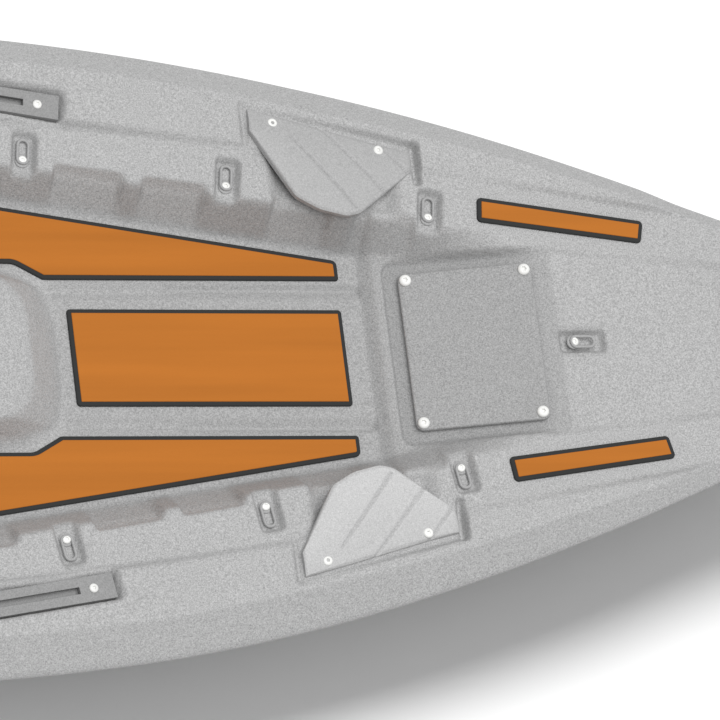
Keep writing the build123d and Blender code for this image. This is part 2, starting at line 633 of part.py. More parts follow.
def bail_mounts(place, span, wire_r):
    """Two lugs with pins that the handle swings on, standing on a flat below the place."""
    lugs = []
    for s in (1, -1):
        inner = span / 2 + wire_r + 1.0
        lug = Pos(0, s * (inner + 4), -PIVOT_UP) * Box(22, 8, 2 * PIVOT_UP, align=(Align.CENTER, Align.CENTER, Align.MIN))
        lug = fillet(lug.edges().filter_by(Axis.Y), 6)
        pin_long = inner - (span / 2 - wire_r) + 1.5 + 2
        pin = Pos(0, s * (inner - pin_long / 2 + 2), 0) * Rot(90, 0, 0) * Cylinder(3.0, pin_long)
        lugs.append(place * (lug + pin))
    return Compound(children=lugs)


BOW_HANDLE_X, STERN_HANDLE_X = 1450.0, -1602.0
SIDE_HANDLE_X, SIDE_HANDLE_Z, SIDE_FLAT_DEEP = -60.0, 206.0, 1.5
END_SPAN, END_REACH, SIDE_SPAN, SIDE_REACH, PIVOT_UP = 60.0, 68.0, 150.0, 70.0, 10.0


def side_handle_flat():
    """The moulded flat on the port side that the handle's lugs stand on."""
    inner = HALF_BEAM - SIDE_FLAT_DEEP
    block = Box(SIDE_SPAN + 60, 40, 40, align=(Align.CENTER, Align.MIN, Align.CENTER))
    return Pos(SIDE_HANDLE_X, inner, SIDE_HANDLE_Z - 8) * block


def handles():
    bow_slope = math.degrees(math.atan((DECK_END_Z - FOREDECK_Z) / (DECK_END_X - DECK_FLAT_X)))
    bow_z = FOREDECK_Z + (DECK_END_Z - FOREDECK_Z) * (BOW_HANDLE_X - DECK_FLAT_X) / (DECK_END_X - DECK_FLAT_X)
    bow = Pos(BOW_HANDLE_X, 0, bow_z) * Rot(0, -bow_slope, 0) * Pos(0, 0, PIVOT_UP)
    nodes["bow_handle"] = bow * bail(END_SPAN, END_REACH, 4.0, 9.0)
    nodes["bow_handle_lugs"] = bail_mounts(bow, END_SPAN, 4.0)
    stern_z, stern_slope = faceted(sheer, STERN_HANDLE_X)
    stern = Pos(STERN_HANDLE_X, 0, stern_z) * Rot(0, -stern_slope, 0) * Pos(0, 0, PIVOT_UP)
    nodes["stern_handle"] = stern * bail(END_SPAN, END_REACH, 4.0, 9.0)
    nodes["stern_handle_lugs"] = bail_mounts(stern, END_SPAN, 4.0)
    for name, turn in (("port", 0), ("starboard", 180)):
        out = HALF_BEAM - SIDE_FLAT_DEEP + PIVOT_UP
        side = Pos(SIDE_HANDLE_X, 0, SIDE_HANDLE_Z) * Rot(0, 0, turn) * Pos(0, out, 0)
        hanging = side * Rot(0, 90, 0) * Rot(90, 0, 0)
        nodes[f"{name}_side_handle"] = hanging * bail(SIDE_SPAN, SIDE_REACH, 3.5, 8.0)
        nodes[f"{name}_side_handle_lugs"] = bail_mounts(hanging, SIDE_SPAN, 3.5)


DRAIN_X = -1665.0

# ---- seat ----
SEAT_FRONT_X, SEAT_AFT_X, SEAT_HALF, SEAT_Z, TUBE_R = -60.0, -500.0, 215.0, 300.0, 11.0
LEG_X = (-110.0, -455.0)
BACK_LEAN, BACK_HIGH, BACK_TUBE_R, SLING_H = 14.0, 430.0, 9.0, 8.0
HINGE_X, HINGE_Z = -430.0, 318.0


def seat():
    corners = [
        (SEAT_FRONT_X, SEAT_HALF, SEAT_Z), (SEAT_AFT_X, SEAT_HALF, SEAT_Z),
        (SEAT_AFT_X, -SEAT_HALF, SEAT_Z), (SEAT_FRONT_X, -SEAT_HALF, SEAT_Z),
    ]
    path = FilletPolyline(*corners, radius=45, close=True)
    wire = Wire(path.edges())
    base = sweep(Plane(wire @ 0, z_dir=wire % 0) * Circle(TUBE_R), path=wire)
    foot_top = FLOOR_Z + 14
    feet = []
    for x in LEG_X:
        for side in (1, -1):
            base += Pos(x, side * SEAT_HALF, foot_top - 8) * Cylinder(TUBE_R - 1, SEAT_Z - foot_top + 8, align=(Align.CENTER, Align.CENTER, Align.MIN))
            foot = Pos(x, side * SEAT_HALF, FLOOR_Z) * Cylinder(18, 26, align=(Align.CENTER, Align.CENTER, Align.MIN))
            foot = fillet(foot.edges().sort_by(Axis.Z)[-1], 6)
            foot -= Pos(x, side * SEAT_HALF, foot_top - 8) * Cylinder(TUBE_R - 1 + 0.05, 60, align=(Align.CENTER, Align.CENTER, Align.MIN))
            feet.append(foot)
    for x in LEG_X:
        base += Pos(x, 0, SEAT_Z - 50) * Rot(90, 0, 0) * Cylinder(8, 2 * SEAT_HALF)
    lug_y = SEAT_HALF + TUBE_R - 2
    for side in (1, -1):
        lug = Pos(HINGE_X, side * (lug_y + 2), SEAT_Z) * Box(26, 5, 32, align=(Align.CENTER, Align.CENTER, Align.MIN))
        lug -= Pos(HINGE_X, side * lug_y, HINGE_Z) * Rot(90, 0, 0) * Cylinder(4.05, 30)
        base += lug
    nodes["seat_base_frame"] = base
    nodes["seat_feet"] = Compound(children=feet)

    pins = []
    for side in (1, -1):
        pin = Pos(HINGE_X, side * (lug_y + 6), HINGE_Z) * Rot(90, 0, 0) * Cylinder(4.0, 20)
        cap = Pos(HINGE_X, side * (lug_y + 17.5), HINGE_Z) * Rot(90, 0, 0) * Cylinder(7.5, 3)
        pins.append(pin + cap)
    nodes["seat_hinge_pins"] = Compound(children=pins)

    lean = math.radians(BACK_LEAN)
    top_x, top_z = HINGE_X - BACK_HIGH * math.sin(lean), HINGE_Z + BACK_HIGH * math.cos(lean)
    arm_y = lug_y + 10.2
    start_x, start_z = HINGE_X - 22 * math.sin(lean), HINGE_Z + 22 * math.cos(lean)
    back_path = FilletPolyline(
        (start_x, arm_y, start_z), (top_x, arm_y, top_z), (top_x, -arm_y, top_z), (start_x, -arm_y, start_z), radius=60
    )
    back_wire = Wire(back_path.edges())
    back = sweep(Plane(back_wire @ 0, z_dir=back_wire % 0) * Circle(BACK_TUBE_R), path=back_wire)
    for side in (1, -1):
        strap = Pos(HINGE_X, side * arm_y, HINGE_Z) * Rot(0, -BACK_LEAN, 0) * Box(20, 6, 60, align=(Align.CENTER, Align.CENTER, Align.MIN))
        eye = Pos(HINGE_X, side * arm_y, HINGE_Z) * Rot(90, 0, 0) * Cylinder(10, 6)
        back += strap + eye
    for side in (1, -1):
        back -= Pos(HINGE_X, side * arm_y, HINGE_Z) * Rot(90, 0, 0) * Cylinder(4.1, 30)
    nodes["seat_back_frame"] = back

    sling = Box(SEAT_FRONT_X - SEAT_AFT_X - 2 * TUBE_R - 10, 2 * (SEAT_HALF - TUBE_R - 5), SLING_H)
    sling = fillet(sling.edges().filter_by(Axis.Z), 36)
    nodes["seat_base_sling"] = Pos((SEAT_FRONT_X + SEAT_AFT_X) / 2, 0, SEAT_Z) * sling
    back_sling = Box(SLING_H, 2 * (arm_y - BACK_TUBE_R - 5), BACK_HIGH - 110)
    back_sling = fillet(back_sling.edges().filter_by(Axis.X), 50)
    up = 85 + (BACK_HIGH - 110) / 2
    nodes["seat_back_sling"] = Pos(HINGE_X, 0, HINGE_Z) * Rot(0, -BACK_LEAN, 0) * Pos(0, 0, up) * back_sling


def drain():
    z, slope = faceted(sheer, DRAIN_X)
    at = Pos(DRAIN_X, 0, z) * Rot(0, -slope, 0)
    plug = extrude(RegularPolygon(11, 6), 8)
    plug += Pos(0, 0, -14) * Cylinder(7, 15, align=(Align.CENTER, Align.CENTER, Align.MIN))
    nodes["drain_plug"] = at * plug
    hull_holes.append(at * Cylinder(7.1, 60))


def hull():
    shell = hull_body(0)
    for cut in deck_cuts(0):
        shell -= cut
    shell += hump(0) & prism([(0, -200), (700, -200), (700, 200), (0, 200)], FLOOR_Z - 1, 300)
    inside = hull_body(WALL)
    for cut in deck_cuts(WALL):
        inside -= cut
    inside += hump(WALL)
    for x, y in scupper_places():
        inside -= scupper(x, y, SCUPPER_WALL)
    shell -= inside
    for x, y in scupper_places():
        shell -= scupper(x, y, 0)
    opening = Box(HATCH_PORT_LONG, HATCH_PORT_WIDE, 80)
    shell -= on_ramp(opening)
    for hole in [*hull_holes, side_handle_flat(), mirrored(side_handle_flat())]:
        shell -= hole
    return shell


deck_pads()
gussets()
hatch()
tie_downs()
gear_tracks()
console_hatch()
rod_holder_parts()
foot_braces()
handles()
seat()
drain()
shell = hull()
nodes["deck_moulding"] = split(shell, Plane.XY.offset(SEAM_Z), keep=Keep.TOP)
nodes["bottom_moulding"] = split(shell, Plane.XY.offset(SEAM_Z), keep=Keep.BOTTOM)

os.makedirs("parts", exist_ok=True)
for name, shape in nodes.items():
    export_step(shape, f"parts/{name}.step")
    print(name, len(shape.solids()), round(shape.volume), shape.is_valid)
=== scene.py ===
"""A sit-on-top fishing kayak: a grey moulded hull, foam deck pads and bolted fittings.

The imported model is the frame: every piece here rides on one of its bodies. Lengths inside the
classes are millimetres, +X to the bow, +Y to port and +Z up, and meshes are laid in metres.
"""
import logging
import math
from dataclasses import dataclass, field
from enum import Enum
from typing import Callable, Sequence

import bmesh
import bpy
import numpy as np
from mathutils import Matrix


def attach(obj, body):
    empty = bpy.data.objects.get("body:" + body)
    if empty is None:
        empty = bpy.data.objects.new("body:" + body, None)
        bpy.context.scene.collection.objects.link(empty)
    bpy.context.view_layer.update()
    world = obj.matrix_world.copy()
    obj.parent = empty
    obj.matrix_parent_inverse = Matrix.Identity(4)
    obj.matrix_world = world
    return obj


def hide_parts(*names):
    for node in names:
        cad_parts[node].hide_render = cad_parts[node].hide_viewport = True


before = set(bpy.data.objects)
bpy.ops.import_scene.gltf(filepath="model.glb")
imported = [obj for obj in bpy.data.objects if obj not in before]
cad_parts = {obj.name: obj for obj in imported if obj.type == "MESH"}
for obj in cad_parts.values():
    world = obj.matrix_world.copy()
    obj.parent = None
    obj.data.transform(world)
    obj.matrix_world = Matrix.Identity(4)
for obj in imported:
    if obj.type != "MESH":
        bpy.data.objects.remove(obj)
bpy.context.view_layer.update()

Array = np.ndarray
Pairs = Sequence[tuple[float, float]]
MM = 0.001
LOG = logging.getLogger("kayak")


class Side(Enum):
    """The two sides of the boat, with the sign of Y on each."""

    PORT = 1
    STARBOARD = -1

    @property
    def label(self) -> str:
        """The side's name as the nodes spell it."""
        return self.name.lower()


class Tone(Enum):
    """The greys of the moulded fittings."""

    HULL = 0.400
    PLATE = 0.385
    HATCH = 0.330
    EYE = 0.360
    TRACK = 0.270
    BLACK = 0.045


# ---------------------------------------------------------------- numbers and curves
def soft_step(low: float, high: float, x: Array) -> Array:
    """Rise from 0 at low to 1 at high along the cubic 3t^2 - 2t^3.

    Args:
        low: Where the rise starts.
        high: Where it ends.
        x: Places to work it out at.

    Returns:
        The rise at each place.
    """
    t = np.clip((x - low) / (high - low), 0.0, 1.0)
    return t * t * (3.0 - 2.0 * t)


def box_mask(x: Array, low: float, high: float, edge: float) -> Array:
    """One between low and high, falling softly to nought over the edge width outside."""
    return soft_step(low - edge, low, x) * (1.0 - soft_step(high, high + edge, x))


def rounded_box(p: Array, q: Array, half_p: float, half_q: float, radius: float) -> Array:
    """Signed distance to a rounded rectangle: the usual corner distance less the radius.

    Args:
        p: Distance along the rectangle's first axis from its middle.
        q: Distance along its second axis.
        half_p: Half its length.
        half_q: Half its width.
        radius: The corner radius.

    Returns:
        Distance outside the outline, negative inside it.
    """
    over_p = np.abs(p) - half_p + radius
    over_q = np.abs(q) - half_q + radius
    outside = np.hypot(np.maximum(over_p, 0.0), np.maximum(over_q, 0.0))
    return outside + np.minimum(np.maximum(over_p, over_q), 0.0) - radius


def segment_distance(x: Array, y: Array, start: tuple[float, float], end: tuple[float, float]) -> Array:
    """Distance from each point to a straight stroke between two ends."""
    run = np.subtract(end, start)
    along = ((x - start[0]) * run[0] + (y - start[1]) * run[1]) / float(run @ run)
    along = np.clip(along, 0.0, 1.0)
    return np.hypot(x - start[0] - along * run[0], y - start[1] - along * run[1])


def corner_loop(corners: Pairs, radii: float | Sequence[float], inset: float = 0.0, turns: int = 7) -> Array:
    """A closed outline with each corner rounded by an arc.

    The corners are moved in by the inset along both neighbouring edges' normals. Each arc runs
    between the two tangent points as a circle about the point that both edges are a radius from.

    Args:
        corners: The sharp corners, counter-clockwise.
        radii: One radius for all the corners, or one for each.
        inset: How far the whole outline is moved inwards.
        turns: Points on each arc.

    Returns:
        Points round the outline, one row each.
    """
    c = np.asarray(corners, float)
    r = np.broadcast_to(np.asarray(radii, float), (len(c),))
    ahead = np.roll(c, -1, 0) - c
    ahead /= np.linalg.norm(ahead, axis=1, keepdims=True)
    behind = np.roll(ahead, 1, 0)
    normal_a = np.stack([-ahead[:, 1], ahead[:, 0]], 1)
    normal_b = np.stack([-behind[:, 1], behind[:, 0]], 1)
    mitre = (normal_a + normal_b) / (1.0 + np.sum(normal_a * normal_b, 1))[:, None]
    bend = np.sign(behind[:, 0] * ahead[:, 1] - behind[:, 1] * ahead[:, 0])
    r = np.maximum(r - inset * bend, 0.4)
    centre = c + mitre * (inset + bend * r)[:, None]
    first = np.arctan2(-normal_b[:, 1] * bend, -normal_b[:, 0] * bend)
    last = np.arctan2(-normal_a[:, 1] * bend, -normal_a[:, 0] * bend)
    sweep = (last - first + math.pi) % (2 * math.pi) - math.pi
    angle = first[:, None] + sweep[:, None] * np.linspace(0.0, 1.0, turns)[None, :]
    spots = centre[:, None, :] + r[:, None, None] * np.stack([np.cos(angle), np.sin(angle)], 2)
    return spots.reshape(-1, 2)


def mirrored(corners: Pairs, side: Side) -> list[tuple[float, float]]:
    """Port corners as they are, or reflected to starboard and kept counter-clockwise."""
    if side is Side.PORT:
        return list(corners)
    return [(x, -y) for x, y in reversed(list(corners))]


# ---------------------------------------------------------------- meshes
def lay_mesh(name: str, points: Array, faces: list, sharp_deg: float = 38.0) -> bpy.types.Object:
    """Put points in millimetres and faces into a new object at the origin.

    Args:
        name: The piece's name.
        points: One row for each vertex.
        faces: Vertex indices of each face.
        sharp_deg: Edges that turn by more than this stay sharp.

    Returns:
        The new object, smooth-shaded, with its doubles merged and its faces pointing out.
    """
    mesh = bpy.data.meshes.new(name)
    mesh.from_pydata(np.asarray(points).reshape(-1, 3) * MM, [], faces)
    work = bmesh.new()
    work.from_mesh(mesh)
    bmesh.ops.remove_doubles(work, verts=work.verts, dist=1e-6)
    bmesh.ops.dissolve_degenerate(work, dist=1e-7, edges=work.edges)
    bmesh.ops.recalc_face_normals(work, faces=work.faces)
    work.to_mesh(mesh)
    work.free()
    mesh.shade_smooth()
    mesh.set_sharp_from_angle(angle=math.radians(sharp_deg))
    piece = bpy.data.objects.new(name, mesh)
    bpy.context.scene.collection.objects.link(piece)
    return piece


def grid_faces(rows: int, columns: int, wrap: bool, start: int = 0) -> list:
    """Quads between neighbouring rows of a grid, wrapped round the columns where asked."""
    last = columns if wrap else columns - 1
    r, c = np.meshgrid(np.arange(rows - 1), np.arange(last), indexing="ij")
    n = (c + 1) % columns
    quads = np.stack([r * columns + c, r * columns + n, (r + 1) * columns + n, (r + 1) * columns + c], -1)
    return (quads.reshape(-1, 4) + start).tolist()


class Heap:
    """Grids gathered into one piece, such as a set of screws."""

    def __init__(self) -> None:
        """Start with nothing."""
        self.points: list[Array] = []
        self.faces: list = []
        self.count = 0

    def add(self, grid: Array, wrap: bool = True, capped: bool = True) -> None:
        """Add one grid of rows by columns.

        Args:
            grid: Points, rows by columns by 3.
            wrap: Whether the last column joins the first.
            capped: Whether the first and last rows are closed with a face each.
        """
        rows, columns = grid.shape[:2]
        self.faces += grid_faces(rows, columns, wrap, self.count)
        if capped:
            first = self.count + np.arange(columns)
            self.faces += [first[::-1].tolist(), (first + (rows - 1) * columns).tolist()]
        self.points.append(grid.reshape(-1, 3))
        self.count += rows * columns

    def lay(self, name: str, sharp_deg: float = 38.0) -> bpy.types.Object:
        """Make the piece."""
        return lay_mesh(name, np.concatenate(self.points), self.faces, sharp_deg)


def terrace(loops: Sequence[tuple[Array, float]]) -> Array:
    """Stack outlines with equal point counts at their heights: a slab with shaped edges."""
    return np.stack([np.column_stack([loop, np.full(len(loop), z)]) for loop, z in loops])


def slab(corners: Pairs, radii: float | Sequence[float], edge: Pairs) -> Array:
    """A slab whose edge steps through (inset, height) pairs from its underside to its top."""
    return terrace([(corner_loop(corners, radii, inset), z) for inset, z in edge])


def turned(profile: Pairs, around: int = 40, lobes: Callable[[Array], Array] | None = None) -> Array:
    """A surface of revolution about Z.

    Each profile pair is a radius and a height. The radius may be scaled round the turn.

    Args:
        profile: Radius and height pairs.
        around: Points round the turn.
        lobes: Gives a factor on the radius at each angle, for the recessed middle only.

    Returns:
        The grid, profile by turn.
    """
    angle = np.arange(around) * (2 * math.pi / around)
    r, z = np.asarray(profile, float).T
    reach = r[:, None] * np.ones_like(angle)[None, :]
    if lobes is not None:
        reach = reach * lobes(angle)[None, :]
    return np.stack([reach * np.cos(angle), reach * np.sin(angle), z[:, None] + 0 * reach], 2)


def place(grid: Array, matrix: Matrix) -> Array:
    """Carry a grid in millimetres by a matrix in millimetres."""
    m = np.array(matrix)
    return grid @ m[:3, :3].T + m[:3, 3]


def spot(x: float, y: float, z: float, turn: float = 0.0, pitch: float = 0.0) -> Matrix:
    """A place turned about Z, then pitched nose-up about its own Y, both in degrees."""
    rise = Matrix.Rotation(math.radians(-pitch), 4, "Y")
    return Matrix.Translation((x, y, z)) @ rise @ Matrix.Rotation(math.radians(turn), 4, "Z")


# ---------------------------------------------------------------- finishes
class Nodes:
    """Short-hand for a node tree that ends in one principled shader."""

    def __init__(self, name: str) -> None:
        """Start a material with an empty tree."""
        self.material = bpy.data.materials.new(name)
        self.material.use_nodes = True
        self.tree = self.material.node_tree
        self.tree.nodes.clear()
        self.shader = self.node("ShaderNodeBsdfPrincipled")
        out = self.node("ShaderNodeOutputMaterial")
        self.link(self.shader.outputs["BSDF"], out.inputs["Surface"])
        self.coords = self.node("ShaderNodeTexCoord").outputs["Object"]

    def node(self, kind: str, **settings: object) -> bpy.types.Node:
        """Add a node and set its properties."""
        made = self.tree.nodes.new(kind)
        for key, value in settings.items():
            setattr(made, key, value)
        return made

    def link(self, source: bpy.types.NodeSocket, target: bpy.types.NodeSocket) -> None:
        """Join two sockets."""
        self.tree.links.new(source, target)

    def noise(self, scale: float, detail: float = 2.0, stretch: tuple = (1, 1, 1)) -> bpy.types.NodeSocket:
        """A noise pattern on object coordinates, stretched along the axes."""
        mapping = self.node("ShaderNodeMapping")
        mapping.inputs["Scale"].default_value = stretch
        self.link(self.coords, mapping.inputs["Vector"])
        made = self.node("ShaderNodeTexNoise")
        made.inputs["Scale"].default_value = scale
        made.inputs["Detail"].default_value = detail
        self.link(mapping.outputs["Vector"], made.inputs["Vector"])
        return made.outputs["Fac"]

    def span(self, source: bpy.types.NodeSocket, low: float, high: float,
             from_low: float = 0.0, from_high: float = 1.0) -> bpy.types.NodeSocket:
        """Carry a value's range to another."""
        made = self.node("ShaderNodeMapRange")
        for key, value in zip(("From Min", "From Max", "To Min", "To Max"), (from_low, from_high, low, high)):
            made.inputs[key].default_value = value
        self.link(source, made.inputs["Value"])
        return made.outputs["Result"]

    def math(self, kind: str, a: bpy.types.NodeSocket, b: bpy.types.NodeSocket | float) -> bpy.types.NodeSocket:
        """One sum of two values."""
        made = self.node("ShaderNodeMath", operation=kind)
        self.link(a, made.inputs[0])
        if isinstance(b, bpy.types.NodeSocket):
            self.link(b, made.inputs[1])
        else:
            made.inputs[1].default_value = b
        return made.outputs[0]

    def tint(self, factor: bpy.types.NodeSocket, low: Sequence[float], high: Sequence[float]) -> bpy.types.NodeSocket:
        """A colour between two, by a factor."""
        made = self.node("ShaderNodeMix", data_type="RGBA")
        made.inputs["A"].default_value = (*low, 1.0)
        made.inputs["B"].default_value = (*high, 1.0)
        self.link(factor, made.inputs["Factor"])
        return made.outputs["Result"]

    def bump(self, height: bpy.types.NodeSocket, strength: float, distance: float) -> None:
        """Raise the surface by a height."""
        made = self.node("ShaderNodeBump")
        made.inputs["Strength"].default_value = strength
        made.inputs["Distance"].default_value = distance
        self.link(height, made.inputs["Height"])
        self.link(made.outputs["Normal"], self.shader.inputs["Normal"])


@dataclass(frozen=True)
class GrainPlastic:
    """Moulded polyethylene: a grey peppered with fine light and dark grains, dull and slightly pebbled."""

    name: str
    grey: float
    grain: float = 0.27
    roughness: float = 0.62
    # When true, the grey is multiplied by the painted shade stored on the mesh.
    shaded: bool = False
    warmth: float = 1.0

    def material(self) -> bpy.types.Material:
        """Build the material."""
        n = Nodes(self.name)
        fine = n.span(n.noise(620.0, 1.0), -1.0, 1.0, 0.28, 0.72)
        coarse = n.span(n.noise(290.0, 2.0), -1.0, 1.0, 0.25, 0.75)
        cloud = n.span(n.noise(9.0, 3.0), -1.0, 1.0, 0.25, 0.75)
        pepper = n.math("ADD", n.math("MULTIPLY", fine, self.grain), n.math("MULTIPLY", coarse, self.grain * 0.45))
        value = n.math("ADD", pepper, n.math("MULTIPLY", cloud, 0.012))
        value = n.math("MULTIPLY", n.math("ADD", value, 1.0), self.grey)
        # Painted shade: the grey is multiplied by the mesh's per-vertex shade factor, darker on walls, in deep wells
        # and in the hatch gutter.
        if self.shaded:
            wall = n.node("ShaderNodeAttribute", attribute_name="tone")
            value = n.math("MULTIPLY", value, wall.outputs["Fac"])
        colour = n.node("ShaderNodeCombineColor")
        n.link(n.math("MULTIPLY", value, self.warmth), colour.inputs["Red"])
        n.link(value, colour.inputs["Green"])
        n.link(value, colour.inputs["Blue"])
        n.link(colour.outputs["Color"], n.shader.inputs["Base Color"])
        n.link(n.span(coarse, self.roughness - 0.06, self.roughness + 0.08, -1.0, 1.0), n.shader.inputs["Roughness"])
        n.shader.inputs["Specular IOR Level"].default_value = 0.35
        n.bump(n.math("ADD", coarse, n.math("MULTIPLY", fine, 0.5)), 0.22, 0.0004)
        return n.material


@dataclass(frozen=True)
class DeckFoam:
    """Closed-cell deck foam: brushed along the boat, with faint streaks and a fine nap."""

    name: str
    colour: tuple[float, float, float]
    streak: float = 0.09
    roughness: float = 0.86

    def material(self) -> bpy.types.Material:
        """Build the material."""
        n = Nodes(self.name)
        streaks = n.noise(34.0, 4.0, (0.05, 1.0, 1.0))
        nap = n.noise(900.0, 2.0)
        mixed = n.math("ADD", n.math("MULTIPLY", streaks, 0.82), n.math("MULTIPLY", nap, 0.18))
        low = [c * (1.0 - self.streak) for c in self.colour]
        high = [c * (1.0 + self.streak) for c in self.colour]
        n.link(n.tint(n.span(mixed, 0.0, 1.0, 0.3, 0.7), low, high), n.shader.inputs["Base Color"])
        n.shader.inputs["Roughness"].default_value = self.roughness
        n.shader.inputs["Specular IOR Level"].default_value = 0.2
        n.bump(n.math("ADD", nap, n.math("MULTIPLY", streaks, 0.3)), 0.18, 0.0003)
        return n.material


@dataclass(frozen=True)
class Metal:
    """Bare or coated metal with fine brushing and faint wear."""

    name: str
    colour: tuple[float, float, float]
    metallic: float = 1.0
    roughness: float = 0.32
    brush: tuple[float, float, float] = (0.05, 1.0, 1.0)

    def material(self) -> bpy.types.Material:
        """Build the material."""
        n = Nodes(self.name)
        lines = n.noise(420.0, 2.0, self.brush)
        wear = n.noise(60.0, 4.0)
        low = [c * 0.86 for c in self.colour]
        n.link(n.tint(n.span(wear, 0.0, 1.0, 0.3, 0.6), low, self.colour), n.shader.inputs["Base Color"])
        n.link(n.span(lines, self.roughness - 0.07, self.roughness + 0.1, 0.3, 0.7), n.shader.inputs["Roughness"])
        n.shader.inputs["Metallic"].default_value = self.metallic
        n.bump(lines, 0.08, 0.0002)
        return n.material


@dataclass(frozen=True)
class SlingCloth:
    """Woven sling fabric: two crossing sets of threads with a faint sheen."""

    name: str
    colour: tuple[float, float, float]
    threads_per_m: float = 520.0

    def material(self) -> bpy.types.Material:
        """Build the material."""
        n = Nodes(self.name)
        axes = n.node("ShaderNodeSeparateXYZ")
        n.link(n.coords, axes.inputs[0])
        turn = self.threads_per_m * math.pi
        lengthwise = n.math("ADD", axes.outputs["X"], n.math("MULTIPLY", axes.outputs["Z"], 1.0))
        warp = n.math("ABSOLUTE", n.math("SINE", n.math("MULTIPLY", lengthwise, turn), 0.0), 0.0)
        weft = n.math("ABSOLUTE", n.math("SINE", n.math("MULTIPLY", axes.outputs["Y"], turn), 0.0), 0.0)
        weave = n.math("MULTIPLY", n.math("ADD", warp, weft), 0.5)
        blend = n.math("ADD", weave, n.math("MULTIPLY", n.noise(80.0, 3.0), 0.3))
        low = [c * 0.55 for c in self.colour]
        n.link(n.tint(n.span(blend, 0.0, 1.0, 0.2, 1.2), low, self.colour), n.shader.inputs["Base Color"])
        n.shader.inputs["Roughness"].default_value = 0.8
        n.shader.inputs["Sheen Weight"].default_value = 0.3
        n.bump(weave, 0.5, 0.0005)
        return n.material


class Finishes:
    """The boat's finishes, each built once."""

    def __init__(self) -> None:
        """Build them all."""
        self.hull = GrainPlastic("hull_plastic", Tone.HULL.value, shaded=True).material()
        self.plate = GrainPlastic("plate_plastic", Tone.PLATE.value, grain=0.15, roughness=0.42).material()
        self.hatch = GrainPlastic("hatch_plastic", Tone.HATCH.value).material()
        self.eye = GrainPlastic("eye_plastic", Tone.EYE.value, grain=0.12, roughness=0.45).material()
        self.track = GrainPlastic("track_plastic", Tone.TRACK.value, grain=0.16, roughness=0.5).material()
        self.black = GrainPlastic("black_plastic", Tone.BLACK.value, grain=0.25, roughness=0.48).material()
        self.orange = DeckFoam("orange_foam", (0.452, 0.150, 0.0215)).material()
        self.border = DeckFoam("dark_foam", (0.033, 0.034, 0.034), streak=0.05).material()
        self.gasket = DeckFoam("gasket_rubber", (0.02, 0.02, 0.02), streak=0.1, roughness=0.7).material()
        self.screw = Metal("coated_screw", (0.86, 0.86, 0.84), 0.0, 0.38).material()
        self.steel = Metal("brushed_steel", (0.62, 0.62, 0.62)).material()
        self.tube = Metal("anodised_tube", (0.60, 0.61, 0.63), 1.0, 0.3).material()
        self.sling = SlingCloth("sling_cloth", (0.075, 0.078, 0.085)).material()


def dress(piece: bpy.types.Object, material: bpy.types.Material) -> None:
    """Give a piece or a carried-over node one material."""
    piece.data.materials.clear()
    piece.data.materials.append(material)


def fit_out(piece: bpy.types.Object, body: str, slot: str, material: bpy.types.Material, *nodes: str) -> None:
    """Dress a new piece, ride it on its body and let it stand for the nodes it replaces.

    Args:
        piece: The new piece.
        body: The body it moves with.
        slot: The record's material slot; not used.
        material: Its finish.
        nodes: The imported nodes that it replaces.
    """
    dress(piece, material)
    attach(piece, body)
    if nodes:
        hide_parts(*nodes)
    LOG.info("piece %s on %s for %s", piece.name, body, ", ".join(nodes) or "nothing")


